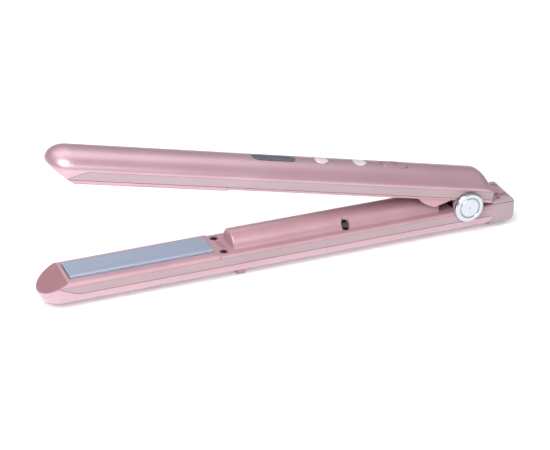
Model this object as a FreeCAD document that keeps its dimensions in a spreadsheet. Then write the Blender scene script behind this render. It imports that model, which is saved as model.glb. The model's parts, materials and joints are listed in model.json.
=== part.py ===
import FreeCAD, Part

import os
import re

import Sketcher

# A cordless flat iron: two slim arms on one hinge pin, a heat plate in each, a battery under a
# raised cover in the lower arm, and the display and buttons on the upper arm.
#
# Frame: millimetres, +Z up, origin on the table under the middle of the iron, arms along X with
# the tips towards -X.  Both arms are drawn lying as the lower arm does, outer side down.  The
# upper arm is the same drawing turned over about the hinge plane, then swung open.

DOC = FreeCAD.newDocument("flat_iron")

DRIVING_SIZES = [
    # alias, value, meaning
    ("tip_x", -144, "front end of the arms"),
    ("tail_x", 144, "rear end of the end block"),
    ("arm_half_width", 13.5, "half the width of an arm"),
    ("shell_bottom", 1.5, "lowest line of the lower arm above the table"),
    ("seam_z", 10.2, "line between the round cover and the side band"),
    ("tray_seam_z", 15.5, "line between the side band and the tray"),
    ("tray_face_z", 17.9, "inner face of the tray around the plate"),
    ("deck_face_z", 17.2, "inner face of the handle"),
    ("wall", 1.3, "thickness of the moulded walls"),
    ("band_inset", 0.18, "how far the side band lies behind its neighbours"),
    ("nose_length", 12.5, "length of the rounded nose"),
    ("slant_top_x", -129.4, "where the slanted tip face meets the inner face"),
    ("slant_angle", 27.8, "slope of the tip face, degrees"),
    ("tip_insert_depth", 1.5, "thickness of the tip insert"),
    ("tip_rim", 0.8, "width of the rim round the tip insert"),
    ("nose_split_x", -124, "where the cover's edge leaves the seam and climbs over the nose"),
    ("nose_split_angle", 23.9, "slope of the cover's edge over the nose, degrees"),
    ("nose_split_blend", 3, "length of the bend at each side of that corner"),
    ("lower_end_x", 129.2, "rear end of the lower covers"),
    ("upper_end_x", 128.3, "rear end of the upper covers"),
    ("tail_round_length", 10.2, "length of the upper arm's rounded tail"),
    ("tail_round_height", 12, "height of the upper arm's rounded tail"),
    ("tray_end_x", -41, "rear end of the plate tray"),
    ("tray_joint", 0.25, "open line between tray and handle"),
    ("plate_front_x", -126.9, "front edge of the heat plate"),
    ("plate_rear_x", -43.7, "rear edge of the heat plate"),
    ("plate_half_width", 8.45, "half the width of the heat plate"),
    ("plate_face_z", 19.7, "working face of the heat plate"),
    ("plate_thickness", 2.3, "thickness of the heat plate"),
    ("plate_gap", 0.4, "gap between plate and tray"),
    ("heater_thickness", 1.4, "thickness of the ceramic heater"),
    ("clamp_thickness", 0.8, "thickness of the heater clamp sheet"),
    ("tray_floor_z", 12.2, "upper side of the tray floor"),
    ("tray_floor_thickness", 1.2, "thickness of the tray floor"),
    ("hinge_x", 112.8, "hinge axis"),
    ("hinge_z", 19.9, "hinge axis height"),
    ("opening_angle", 13.2, "angle between the arms at rest, degrees"),
    ("pin_radius", 2, "hinge pin"),
    ("pin_clearance", 0.06, "running clearance on the pin"),
    ("hinge_room", 7.2, "half the open stretch of the lower deck around the hinge"),
    ("ear_radius", 8.4, "hinge ears of the lower arm"),
    ("ear_inner_y", 10.75, "inner side of the ears"),
    ("ear_clearance", 0.5, "clearance around the ears"),
    ("knuckle_radius", 6.2, "hinge knuckles of the upper arm"),
    ("knuckle_inner_y", 5.3, "inner side of the knuckles"),
    ("knuckle_outer_y", 10.1, "outer side of the knuckles"),
    ("cap_radius", 9.05, "round hinge caps"),
    ("cap_inner_y", 13.9, "inner side of the caps"),
    ("cap_face_y", 16.4, "outer face of the caps"),
    ("battery_hump_radius", 8.6, "outside radius of the battery cover"),
    ("hump_axis_z", 17, "axis of the battery cover's round"),
    ("hump_front_x", -31.5, "front of the battery cover"),
    ("hump_rear_x", 97, "rear of the battery cover"),
    ("valley_radius", 1.8, "round between battery cover and deck"),
    ("rim_radius", 1.4, "round along the inner edges of the arms"),
    ("channel_half_width", 9.8, "channel in the upper arm for the battery cover"),
    ("channel_floor_z", 13.2, "floor of that channel"),
    ("cell_radius", 7.0, "battery cells"),
    ("cell_length", 60, "length of one cell"),
    ("cell_axis_z", 12.2, "height of the cells' axis"),
    ("front_cell_x", -29, "front end of the front cell"),
    ("rear_cell_x", 35.5, "front end of the rear cell"),
    ("screw_front_x", -37.2, "front cover screws"),
    ("screw_front_y", 8.3, "front cover screws, off centre"),
    ("screw_side_x", 37.2, "side cover screws"),
    ("screw_side_y", 8.0, "side cover screws, off centre"),
    ("screw_well_radius", 2.5, "screw wells"),
    ("screw_head_radius", 1.9, "screw heads"),
    ("screw_shank_radius", 1.0, "screw shanks"),
    ("socket_z", 10.8, "middle of the charging socket"),
    ("socket_half_width", 4.5, "half the width of the charging socket"),
    ("socket_half_height", 1.6, "half the height of the charging socket"),
    ("socket_length", 8.2, "length of the charging socket"),
    ("socket_inset", 0.3, "how far the socket lies in the end block"),
    ("socket_wall", 0.4, "thickness of the socket's shell"),
    ("socket_round", 1.5, "rounded sides of the socket"),
    ("socket_tongue_length", 6, "length of the contact tongue in the socket"),
    ("block_front_x", 129.2, "front of the end block"),
    ("block_half_width", 13.3, "half the width of the end block"),
    ("block_bottom_z", 2.0, "underside of the end block"),
    ("block_top_z", 18.8, "top of the end block"),
    ("block_round", 1.6, "rounded edges of the end block"),
    ("block_keel_round", 7.8, "radius along the two lower edges of the end block"),
    ("block_inner_slant", 5, "width of the slants inside those edges"),
    ("block_wall", 1.5, "wall of the end block"),
    ("recess_front_x", 133.6, "front of the recess on the end block"),
    ("recess_rear_x", 141.9, "rear of that recess"),
    ("recess_half_width", 9.2, "half the width of that recess"),
    ("recess_depth", 1.1, "depth of that recess"),
    ("lock_pad_half_width", 4.0, "half the width of the lock slider"),
    ("lock_tongue_z", 18.05, "underside of the lock tongue"),
    ("lock_tongue_thickness", 1.15, "thickness of the lock tongue"),
    ("lock_tongue_half_width", 2.6, "half the width of the lock tongue"),
    ("lock_tongue_overhang", 1.6, "how far the unlocked tongue stands out of the end block"),
    ("lock_pad_length", 4.2, "length of the thumb pad"),
    ("lock_ridge_pitch", 1.15, "spacing of the ridges on the thumb pad"),
    ("lock_ridge_width", 0.5, "width of a ridge"),
    ("lock_ridge_height", 0.35, "height of a ridge"),
    ("lock_play", 0.3, "play round the lock slider"),
    ("lock_lug_half_length", 1.4, "half the length of the lugs that hold the lock bar"),
    ("lock_bar_x", 126.4, "lock bar of the upper arm"),
    ("lock_bar_z", 20.3, "lock bar, arms closed"),
    ("lock_bar_radius", 0.75, "lock bar"),
    ("display_x", -11.5, "middle of the display window"),
    ("display_half_length", 13.5, "half the length of the display window"),
    ("display_half_width", 4.2, "half the width of the display window"),
    ("minus_x", 18.3, "minus button"),
    ("plus_x", 42.7, "plus button"),
    ("round_button_radius", 4.0, "round buttons"),
    ("power_x", 65.3, "power button"),
    ("power_half_length", 8.4, "half the length of the power button"),
    ("power_half_width", 4.2, "half the width of the power button"),
    ("button_gap", 0.25, "gap around the buttons"),
    ("button_rise", 0.35, "how far the buttons stand proud"),
    ("window_depth", 1.0, "thickness of the display window"),
    ("board_z", 6.6, "component side of the control board"),
    ("board_thickness", 1.0, "thickness of the circuit boards"),
    ("switch_height", 1.5, "height of the push switches"),
    ("foot_x", -26.3, "middle of the front foot"),
    ("foot_half_length", 2.5, "half the front foot along the arm"),
    ("foot_half_width", 7, "half the front foot across the arm"),
    ("rear_foot_x", 120, "middle of the rear foot"),
    ("rear_foot_radius", 3, "rear rubber foot"),
    ("fin_front_x", 79, "front of the guide fins"),
    ("fin_low_x", 92, "lowest point of the guide fins"),
    ("fin_rear_x", 103.8, "rear of the guide fins"),
    ("fin_inner_y", 10.2, "inner side of the fins"),
    ("fin_outer_y", 11.8, "outer side of the fins"),
    ("reach", 60, "size of the blocks that only trim other shapes"),
]

SIZES = DOC.addObject("Spreadsheet::Sheet", "sizes")
for row_number, (alias, number, meaning) in enumerate(DRIVING_SIZES, start=1):
    SIZES.set("A%d" % row_number, meaning)
    SIZES.set("B%d" % row_number, str(number))
    SIZES.setAlias("B%d" % row_number, alias)
DOC.recompute()

ALIASES = {alias for alias, number, meaning in DRIVING_SIZES}
SUB_PARTS = []
UPPER_SUB_PARTS = []


# ---------------------------------------------------------------- rules and plain solids

def rule(text):
    """An expression on the sheet: every alias in the text gets the sheet's name."""
    def with_sheet(match):
        word = match.group(0)
        return "sizes." + word if word in ALIASES else word
    return re.sub(r"[a-z][a-z_]*", with_sheet, str(text))


def value(text):
    """The number that a rule gives now."""
    number = SIZES.evalExpression(rule(text))
    return float(getattr(number, "Value", number))


def bind(thing, rules):
    """Bind each property of the thing to its rule."""
    for name, text in rules.items():
        thing.setExpression(name, rule(text))


def box(name, x_span, y_span, z_span):
    """A block between two rules along each axis."""
    block = DOC.addObject("Part::Box", name)
    rules = {}
    for axis, size, (start, end) in zip("xyz", ("Length", "Width", "Height"), (x_span, y_span, z_span)):
        rules["Placement.Base." + axis] = start
        rules[size] = "(%s) - (%s)" % (end, start)
    bind(block, rules)
    return block


def slab(name, x_span, half_width, z_span):
    """A block across the middle plane."""
    return box(name, x_span, ("-(%s)" % half_width, half_width), z_span)


TURN_TO = {
    "x": FreeCAD.Rotation(FreeCAD.Vector(0, 1, 0), 90),
    "y": FreeCAD.Rotation(FreeCAD.Vector(1, 0, 0), -90),
    "z": FreeCAD.Rotation(),
}


def rod(name, axis, radius, span, across):
    """A cylinder along an axis between two rules; across holds the other two coordinates."""
    cylinder = DOC.addObject("Part::Cylinder", name)
    cylinder.Placement.Rotation = TURN_TO[axis]
    other_axes = [letter for letter in "xyz" if letter != axis]
    rules = {
        "Radius": radius,
        "Height": "(%s) - (%s)" % (span[1], span[0]),
        "Placement.Base." + axis: span[0],
        "Placement.Base." + other_axes[0]: across[0],
        "Placement.Base." + other_axes[1]: across[1],
    }
    bind(cylinder, rules)
    return cylinder


def slot_prism(name, middle_x, half_length, half_width, z_span):
    """An upright prism with round ends, long along X."""
    flat = "(%s) - (%s)" % (half_length, half_width)
    start = "%s - (%s)" % (middle_x, flat)
    end = "%s + %s" % (middle_x, flat)
    return fuse(name, [
        slab(name + "_middle", (start, end), half_width, z_span),
        rod(name + "_front", "z", half_width, z_span, (start, "0")),
        rod(name + "_rear", "z", half_width, z_span, (end, "0")),
    ])


def fuse(name, shapes):
    """Several solids made one."""
    whole = DOC.addObject("Part::MultiFuse", name)
    whole.Shapes = shapes
    whole.Refine = True
    return whole


def cut(name, base, *tools):
    """The base less each tool in turn."""
    for count, tool in enumerate(tools, start=1):
        piece_name = name if count == len(tools) else "%s_step_%d" % (name, count)
        piece = DOC.addObject("Part::Cut", piece_name)
        piece.Base = base
        piece.Tool = tool
        piece.Refine = True
        base = piece
    return base


def common(name, base, tool):
    """What two solids share."""
    piece = DOC.addObject("Part::Common", name)
    piece.Base = base
    piece.Tool = tool
    piece.Refine = True
    return piece


def rounded(name, base, radius, wanted):
    """The base with a round on every edge that wanted(edge) picks."""
    DOC.recompute()
    radius_now = value(radius)
    picked = [(index, radius_now, radius_now)
              for index, edge in enumerate(base.Shape.Edges, start=1) if wanted(edge)]
    piece = DOC.addObject("Part::Fillet", name)
    piece.Base = base
    piece.Edges = picked
    return piece


def sub_part(thing, label, upper=False):
    """Register a finished sub-part under its own label."""
    thing.Label = label
    SUB_PARTS.append(thing)
    if upper:
        UPPER_SUB_PARTS.append(thing)
    return thing


# ---------------------------------------------------------------- sketched bodies

def new_body(label):
    """An empty PartDesign body."""
    return DOC.addObject("PartDesign::Body", label)


def origin_plane(body, role):
    """One of the body's own origin planes."""
    return next(item for item in body.Origin.OriginFeatures if item.Role == role)


def empty_sketch(body, role, offset):
    """A sketch on an origin plane, moved along its normal by a rule."""
    count = len([item for item in body.Group if item.TypeId == "Sketcher::SketchObject"]) + 1
    sketch = body.newObject("Sketcher::SketchObject", "%s_sketch_%d" % (body.Name, count))
    sketch.AttachmentSupport = [(origin_plane(body, role), "")]
    sketch.MapMode = "FlatFace"
    sketch.setExpression("AttachmentOffset.Base.z", rule(offset))
    return sketch


def hold_point(sketch, geometry, point, corner):
    """Hold one point of the sketch at two bound distances from the sketch's origin."""
    for kind, text in zip(("DistanceX", "DistanceY"), corner):
        number = sketch.addConstraint(Sketcher.Constraint(kind, -1, 1, geometry, point, value(text)))
        sketch.setExpression("Constraints[%d]" % number, rule(text))


def outline(body, role, corners, offset="0"):
    """A closed outline of straight lines through bound corners."""
    sketch = empty_sketch(body, role, offset)
    points = [FreeCAD.Vector(value(first), value(second), 0) for first, second in corners]
    for index, point in enumerate(points):
        sketch.addGeometry(Part.LineSegment(point, points[(index + 1) % len(points)]), False)
    for index in range(len(points)):
        following = (index + 1) % len(points)
        sketch.addConstraint(Sketcher.Constraint("Coincident", index, 2, following, 1))
    for index, corner in enumerate(corners):
        hold_point(sketch, index, 1, corner)
    return sketch


def oblong(first_span, second_span):
    """The four corners of a rectangle."""
    return [(first_span[0], second_span[0]), (first_span[1], second_span[0]),
            (first_span[1], second_span[1]), (first_span[0], second_span[1])]


def circles(body, role, rounds, offset="0"):
    """A sketch of bound circles, each given as two centre rules and a radius rule."""
    sketch = empty_sketch(body, role, offset)
    for index, (first, second, radius) in enumerate(rounds):
        centre = FreeCAD.Vector(value(first), value(second), 0)
        sketch.addGeometry(Part.Circle(centre, FreeCAD.Vector(0, 0, 1), value(radius)), False)
        hold_point(sketch, index, 3, (first, second))
        number = sketch.addConstraint(Sketcher.Constraint("Radius", index, value(radius)))
        sketch.setExpression("Constraints[%d]" % number, rule(radius))
    return sketch


def pad(body, sketch, length, midplane=False):
    """Thicken a sketch along its plane's normal, or to both sides."""
    feature = body.newObject("PartDesign::Pad", sketch.Name + "_pad")
    feature.Profile = sketch
    feature.Midplane = midplane
    feature.setExpression("Length", rule(length))
    body.Tip = feature
    DOC.recompute()
    return feature


def pocket(body, sketch, length, forward=True, midplane=False):
    """Cut a sketch out of the body, and make sure that it cuts."""
    before = body.Shape.Volume
    feature = body.newObject("PartDesign::Pocket", sketch.Name + "_pocket")
    feature.Profile = sketch
    feature.Midplane = midplane
    feature.Reversed = forward
    feature.setExpression("Length", rule(length))
    body.Tip = feature
    DOC.recompute()
    if body.Shape.Volume > before - 0.001:
        raise RuntimeError("%s cuts nothing" % feature.Name)
    return feature


def edge_round(body, kind, size, wanted):
    """A PartDesign fillet or chamfer on every edge that wanted(edge) picks."""
    base = body.Tip
    names = ["Edge%d" % index for index, edge in enumerate(base.Shape.Edges, start=1) if wanted(edge)]
    feature = body.newObject("PartDesign::" + kind, "%s_%s" % (body.Name, kind))
    feature.Base = (base, names)
    feature.setExpression("Radius" if kind == "Fillet" else "Size", rule(size))
    body.Tip = feature
    DOC.recompute()
    return feature


def turned(label, profile, placement):
    """A piece turned about its own Z axis from (radius, height) corners, then placed."""
    body = new_body(label)
    sketch = outline(body, "XZ_Plane", profile)
    feature = body.newObject("PartDesign::Revolution", label + "_turning")
    feature.Profile = sketch
    feature.ReferenceAxis = (sketch, ["V_Axis"])
    feature.Angle = 360
    body.Tip = feature
    body.Placement = placement
    return body


def drum(radius, bottom, top):
    """The profile of a plain cylinder."""
    return [("0", bottom), (radius, bottom), (radius, top), ("0", top)]


def ring(inner, outer, bottom, top):
    """The profile of a ring."""
    return [(inner, bottom), (outer, bottom), (outer, top), (inner, top)]


def along_y(x, z, towards=1):
    """The placement that turns local Z to +Y or -Y at a point of the middle plane."""
    turn = FreeCAD.Rotation(FreeCAD.Vector(1, 0, 0), -90 * towards)
    return FreeCAD.Placement(FreeCAD.Vector(value(x), 0, value(z)), turn)


def along_z(x, y, z):
    """The placement that only moves a turned piece."""
    return FreeCAD.Placement(FreeCAD.Vector(value(x), value(y), value(z)), FreeCAD.Rotation())


def along_x(x, y, z):
    """The placement that turns local Z to +X."""
    return FreeCAD.Placement(FreeCAD.Vector(value(x), value(y), value(z)), TURN_TO["x"])


# ---------------------------------------------------------------- the shape of an arm

def elliptic_post(name, length, half_width, middle_x, z_span):
    """An upright post with an elliptic plan: length along the arm, the larger half_width across."""
    section = DOC.addObject("Part::Ellipse", name + "_section")
    section.Placement.Rotation = FreeCAD.Rotation(FreeCAD.Vector(0, 0, 1), 90)
    bind(section, {
        "MajorRadius": half_width,
        "MinorRadius": length,
        "Placement.Base.x": middle_x,
        "Placement.Base.z": z_span[0],
    })
    return extruded(name, section, FreeCAD.Vector(0, 0, 1), "(%s) - (%s)" % (z_span[1], z_span[0]))


def extruded(name, section, direction, length):
    """A closed curve extruded to a solid."""
    solid = DOC.addObject("Part::Extrusion", name)
    solid.Base = section
    solid.DirMode = "Custom"
    solid.Dir = direction
    solid.Solid = True
    solid.setExpression("LengthFwd", rule(length))
    return solid


def arm_low(name, inset, end_x):
    """An arm below its seam, moved inwards by the inset: a half rod with a quarter ball ahead of
    it, both drawn round and then scaled to the flat oval section and the long nose."""
    half_width = "arm_half_width - (%s)" % inset
    depth = "seam_z - shell_bottom - (%s)" % inset
    nose = "nose_length - (%s)" % inset
    ball = DOC.addObject("Part::Sphere", name + "_ball")
    ball.Angle1 = -90
    ball.Angle2 = 0
    ball.Angle3 = 180
    ball.Placement.Rotation = FreeCAD.Rotation(FreeCAD.Vector(0, 0, 1), 90)
    bind(ball, {"Radius": half_width})
    half_rod = DOC.addObject("Part::Cylinder", name + "_half_rod")
    half_rod.Angle = 180
    half_rod.Placement.Rotation = TURN_TO["x"].multiply(FreeCAD.Rotation(FreeCAD.Vector(0, 0, 1), -90))
    bind(half_rod, {
        "Radius": half_width,
        "Height": "((%s) - tip_x - nose_length) * (%s) / (%s)" % (end_x, half_width, nose),
    })
    drawn_round = fuse(name + "_drawn_round", [ball, half_rod])
    scaled = DOC.addObject("Part::Scale", name)
    scaled.Base = drawn_round
    scaled.Uniform = False
    bind(scaled, {
        "XScale": "(%s) / (%s)" % (nose, half_width),
        "ZScale": "(%s) / (%s)" % (depth, half_width),
        "Placement.Base.x": "tip_x + nose_length",
        "Placement.Base.z": "seam_z",
    })
    return scaled


def arm_high(name, inset, end_x):
    """An arm from its seam up to the inner face, moved inwards by the inset."""
    half_width = "arm_half_width - (%s)" % inset
    nose = "nose_length - (%s)" % inset
    nose_x = "tip_x + nose_length"
    z_span = ("seam_z", "tray_face_z")
    straight = slab(name + "_straight", (nose_x, end_x), half_width, z_span)
    nose_post = elliptic_post(name + "_nose_post", nose, half_width, nose_x, z_span)
    ahead = slab(name + "_ahead", (nose_x + " - reach", nose_x), "reach", z_span)
    return fuse(name, [straight, common(name + "_nose", nose_post, ahead)])


def slant_block(name, low, high):
    """A block over the slanted tip face, between two heights measured square to it."""
    block = DOC.addObject("Part::Box", name)
    block.Placement.Rotation = FreeCAD.Rotation(FreeCAD.Vector(0, 1, 0), -value("slant_angle"))
    bind(block, {
        "Length": "reach * 2",
        "Width": "reach",
        "Height": "(%s) - (%s)" % (high, low),
        "Placement.Base.x": "slant_top_x - reach * cos(slant_angle) - (%s) * sin(slant_angle)" % low,
        "Placement.Base.y": "-reach / 2",
        "Placement.Base.z": "tray_face_z - reach * sin(slant_angle) + (%s) * cos(slant_angle)" % low,
    })
    return block


def nose_picker(side):
    """What picks the cover's share of the nose above the seam: all that lies below a plane that
    climbs forward from the seam, with the corner between the seam and the plane blended."""
    slope = value("nose_split_angle")
    below = DOC.addObject("Part::Box", side + "_nose_below")
    below.Placement.Rotation = FreeCAD.Rotation(FreeCAD.Vector(0, 1, 0), slope)
    bind(below, {
        "Length": "reach",
        "Width": "reach",
        "Height": "reach",
        "Placement.Base.x": "nose_split_x - reach * (cos(nose_split_angle) + sin(nose_split_angle))",
        "Placement.Base.y": "-reach / 2",
        "Placement.Base.z": "seam_z + reach * (sin(nose_split_angle) - cos(nose_split_angle))",
    })
    blend = slab(side + "_nose_blend", (
        "nose_split_x - nose_split_blend * cos(nose_split_angle)", "nose_split_x + nose_split_blend"),
        "reach / 2", ("seam_z", "seam_z + nose_split_blend * sin(nose_split_angle)"))
    bend_radius = "nose_split_blend / tan(nose_split_angle / 2)"
    bend = rod(side + "_nose_bend", "y", bend_radius, ("-reach", "reach"),
               ("nose_split_x + nose_split_blend", "seam_z + " + bend_radius))
    return fuse(side + "_nose_picker", [below, cut(side + "_nose_corner", blend, bend)])


def tail_cutter(name, inset):
    """What is cut off the upper arm to round its tail: a block less a lying elliptic log."""
    start = "upper_end_x - tail_round_length"
    middle_z = "shell_bottom + tail_round_height"
    below_middle = (middle_z + " - reach", middle_z)
    corner = slab(name + "_corner", (start, "upper_end_x + reach"), "reach", below_middle)
    section = DOC.addObject("Part::Ellipse", name + "_section")
    upright = FreeCAD.Rotation(FreeCAD.Vector(1, 0, 0), 90)
    section.Placement.Rotation = upright.multiply(FreeCAD.Rotation(FreeCAD.Vector(0, 0, 1), 90))
    bind(section, {
        "MajorRadius": "tail_round_height - (%s)" % inset,
        "MinorRadius": "tail_round_length - (%s)" % inset,
        "Placement.Base.x": start,
        "Placement.Base.y": "reach",
        "Placement.Base.z": middle_z,
    })
    log = extruded(name + "_log", section, FreeCAD.Vector(0, -1, 0), "reach * 2")
    return cut(name, corner, log)


def between(name, x_span, z_span):
    """A wide block that picks a stretch of an arm."""
    return slab(name, x_span, "reach", z_span)


WHOLE_LENGTH = ("tip_x - 5", "tail_x + 5")


class Arm:
    """The trimming shapes that both arms share."""

    def __init__(self, side, end_x, inner_end_x):
        self.side = side
        self.upper = side == "upper"
        slant = slant_block(side + "_slant_cutter", "0", "reach")
        self.outside_low = arm_low(side + "_outside_low", "0", end_x)
        self.inside_low = arm_low(side + "_inside_low", "wall", inner_end_x)
        whole_high = arm_high(side + "_whole_high", "0", end_x)
        whole_band = arm_high(side + "_whole_band", "band_inset", end_x)
        self.outside_high = cut(side + "_outside_high", whole_high, slant)
        self.band_high = cut(side + "_band_high", whole_band, slant)
        self.inside_high = arm_high(side + "_inside_high", "wall", inner_end_x)
        if self.upper:
            outer_tail = tail_cutter("outer_tail", "0")
            inner_tail = tail_cutter("inner_tail", "wall")
            self.outside_low = cut("upper_outside_low_tail", self.outside_low, outer_tail)
            self.inside_low = cut("upper_inside_low_tail", self.inside_low, inner_tail)
            self.outside_high = cut("upper_outside_high_tail", self.outside_high, outer_tail)
            self.band_high = cut("upper_band_high_tail", self.band_high, outer_tail)
            self.inside_high = cut("upper_inside_high_tail", self.inside_high, inner_tail)
        insert_slab = common(
            side + "_insert_layer", arm_high(side + "_insert_whole", "tip_rim", inner_end_x),
            slant_block(side + "_insert_slab", "-tip_insert_depth", "0"))
        self.insert = common(side + "_insert_shape", insert_slab, between(
            side + "_insert_range", ("tip_x - 5", "slant_top_x"), ("0", "reach")))
        self.nose_share = nose_picker(side)


def outer_cover(arm, openings):
    """The round outer cover, from the outermost line up to the seam, and over the nose."""
    side = arm.side
    bowl = cut(side + "_cover_bowl", arm.outside_low, arm.inside_low, *openings)
    nose_skin = cut(side + "_nose_skin", arm.outside_high, arm.inside_high, arm.insert)
    nose = common(side + "_cover_nose", nose_skin, arm.nose_share)
    sub_part(fuse(side + "_cover", [bowl, nose]), side + "_outer_cover", arm.upper)


def band_ring(arm):
    """The side band: the arm's side wall between the two seams."""
    side = arm.side
    wall_ring = cut(side + "_band_skin", arm.band_high, arm.inside_high, arm.insert, arm.nose_share)
    return common(side + "_band_ring", wall_ring, between(
        side + "_band_range", WHOLE_LENGTH, ("seam_z", "tray_seam_z")))


def tip_insert(arm):
    """The slanted plate that closes the tip inside the rim."""
    plate = common(arm.side + "_tip_plate", arm.insert, between(
        arm.side + "_tip_range", WHOLE_LENGTH, ("0", "reach")))
    sub_part(plate, arm.side + "_tip_insert", arm.upper)


def plate_tray(arm):
    """The tray that holds the heat plate: a rim around the plate, a channel and a floor."""
    side = arm.side
    opening_x = ("plate_front_x - plate_gap", "plate_rear_x + plate_gap")
    opening_half = "plate_half_width + plate_gap"
    rim_range = between(side + "_rim_range", ("tip_x - 5", "tray_end_x"), ("tray_seam_z", "tray_face_z"))
    rim = common(side + "_tray_rim", arm.outside_high, rim_range)
    channel_x = (opening_x[0] + " - 1.2", opening_x[1] + " + 1.2")
    channel = slab(side + "_tray_channel", channel_x, opening_half + " + 1.2",
                   ("tray_floor_z - tray_floor_thickness", "tray_seam_z"))
    whole = fuse(side + "_tray_whole", [rim, channel])
    room = slab(side + "_tray_room", opening_x, opening_half, ("tray_floor_z", "tray_face_z + 1"))
    wells = [
        rod("%s_tray_hole_%d" % (side, index), "z", "1", ("tray_floor_z - 3", "tray_floor_z + 1"), (x, "0"))
        for index, x in enumerate(("plate_front_x + 6", "plate_rear_x - 24"))
    ]
    open_tray = cut(side + "_tray_open", whole, room, *wells)
    top = value("tray_face_z")
    end = value("tray_end_x")
    front = value("slant_top_x")

    def outer_edge(edge):
        box_now = edge.BoundBox
        level = abs(box_now.ZMin - top) < 0.01 and abs(box_now.ZMax - top) < 0.01
        at_side = abs(abs(edge.CenterOfMass.y) - value("arm_half_width")) < 0.05
        return level and at_side and box_now.XMax < end + 0.1 and box_now.XMin > front - 0.1

    soft_tray = rounded(side + "_tray_soft", open_tray, "rim_radius", outer_edge)
    sub_part(cut(side + "_tray", soft_tray, arm.insert), side + "_plate_tray", arm.upper)


def heat_plate(arm):
    """The coated aluminium plate, with rounded long edges and a shallow heater seat."""
    side = arm.side
    body = new_body(side + "_heat_plate")
    ends = ("plate_front_x", "plate_rear_x")
    sides = ("-plate_half_width", "plate_half_width")
    pad(body, outline(body, "XY_Plane", oblong(ends, sides), "plate_face_z - plate_thickness"),
        "plate_thickness")
    top = value("plate_face_z")
    edge_round(body, "Fillet", "0.7", lambda edge: abs(edge.BoundBox.ZMin - top) < 0.01)
    sub_part(body, body.Name, arm.upper)


def ceramic_heater(arm):
    """The flat ceramic heater glued under the plate."""
    side = arm.side
    body = new_body(side + "_ceramic_heater")
    low = "plate_face_z - plate_thickness - heater_thickness"
    corners = oblong(("plate_front_x + 8", "plate_rear_x - 8"), ("-5.5", "5.5"))
    pad(body, outline(body, "XY_Plane", corners, low), "heater_thickness")
    sub_part(body, body.Name, arm.upper)


def heater_clamp(arm):
    """The folded steel sheet that presses the heater to the plate."""
    side = arm.side
    body = new_body(side + "_heater_clamp")
    heater_low = "plate_face_z - plate_thickness - heater_thickness"
    plate_low = "plate_face_z - plate_thickness"
    section = [
        ("-7.4", plate_low), ("-7.4", heater_low + " - clamp_thickness"),
        ("7.4", heater_low + " - clamp_thickness"), ("7.4", plate_low),
        ("7.4 - clamp_thickness", plate_low), ("7.4 - clamp_thickness", heater_low),
        ("-7.4 + clamp_thickness", heater_low), ("-7.4 + clamp_thickness", plate_low),
    ]
    pad(body, outline(body, "YZ_Plane", section, "plate_front_x + 5"),
        "plate_rear_x - plate_front_x - 10")
    holes = [("plate_front_x + %d" % along, "0", "1.5") for along in (24, 58)]
    pocket(body, circles(body, "XY_Plane", holes, heater_low + " - clamp_thickness - 1"), "2.2")
    sub_part(body, body.Name, arm.upper)


def temperature_sensor(arm):
    """The bead thermistor clipped under the clamp."""
    top = "plate_face_z - plate_thickness - heater_thickness - clamp_thickness"
    bead = turned(arm.side + "_temperature_sensor", drum("1.3", "-1.4", "0"),
                  along_z("plate_front_x + 42", "0", top))
    sub_part(bead, bead.Name, arm.upper)


def thermal_fuse(arm):
    """The one-shot fuse that lies along the clamp."""
    top = "plate_face_z - plate_thickness - heater_thickness - clamp_thickness"
    fuse_body = turned(arm.side + "_thermal_fuse", drum("0.9", "0", "10"),
                       along_x("plate_front_x + 46", "4", top + " - 0.9"))
    sub_part(fuse_body, fuse_body.Name, arm.upper)


def plate_cushions(arm):
    """The two silicone cushions that let the plate float."""
    top = "plate_face_z - plate_thickness - heater_thickness - clamp_thickness"
    for place, middle_x in (("front", "plate_front_x + 14"), ("rear", "plate_rear_x - 14")):
        body = new_body("%s_plate_cushion_%s" % (arm.side, place))
        corners = oblong((middle_x + " - 4", middle_x + " + 4"), ("-4.5", "4.5"))
        pad(body, outline(body, "XY_Plane", corners, "tray_floor_z"), "(%s) - tray_floor_z" % top)
        sub_part(body, body.Name, arm.upper)


def shared_pieces(arm):
    """The pieces that both arms have alike."""
    tip_insert(arm)
    plate_tray(arm)
    heat_plate(arm)
    ceramic_heater(arm)
    heater_clamp(arm)
    temperature_sensor(arm)
    thermal_fuse(arm)
    plate_cushions(arm)


# ---------------------------------------------------------------- hinge

HINGE = ("hinge_x", "hinge_z")


def ear_pair(name, inner_y, outer_y, radius):
    """Two lying discs around the hinge axis, one on each side."""
    return [
        rod(name + "_left", "y", radius, (inner_y, outer_y), HINGE),
        rod(name + "_right", "y", radius, ("-(%s)" % outer_y, "-(%s)" % inner_y), HINGE),
    ]


def lower_side_frame(arm):
    """The lower side band with the two hinge ears standing on it."""
    ring_part = band_ring(arm)
    ears = ear_pair("ear", "ear_inner_y", "arm_half_width - band_inset", "ear_radius")
    ribs = [
        slab("lower_rib_%d" % index, (x, x + " + 1.4"), "arm_half_width - wall + 0.5",
             ("seam_z", "seam_z + 2"))
        for index, x in enumerate(("tray_end_x + 0.8", "rear_cell_x + cell_length + 2"))
    ]
    whole = fuse("lower_frame_whole", [ring_part] + ears + ribs)
    bore = rod("ear_bore", "y", "pin_radius + pin_clearance / 3", ("-reach", "reach"), HINGE)
    sub_part(cut("lower_frame", whole, bore), "lower_side_frame")


def upper_side_frame(arm):
    """The upper side band, cut away around the lower arm's ears."""
    ring_part = band_ring(arm)
    notches = ear_pair("upper_frame_notch", "ear_inner_y - 2 * ear_clearance", "reach",
                       "ear_radius + ear_clearance")
    sub_part(cut("upper_frame", ring_part, *notches), "upper_side_frame", upper=True)


def hinge_pin():
    """The steel pin, with a shoulder-free shank from cap to cap."""
    half = "cap_inner_y"
    pin = turned("hinge_pin", drum("pin_radius", "-(%s)" % half, half), along_y(*HINGE))
    sub_part(pin, "hinge_pin")


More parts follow.
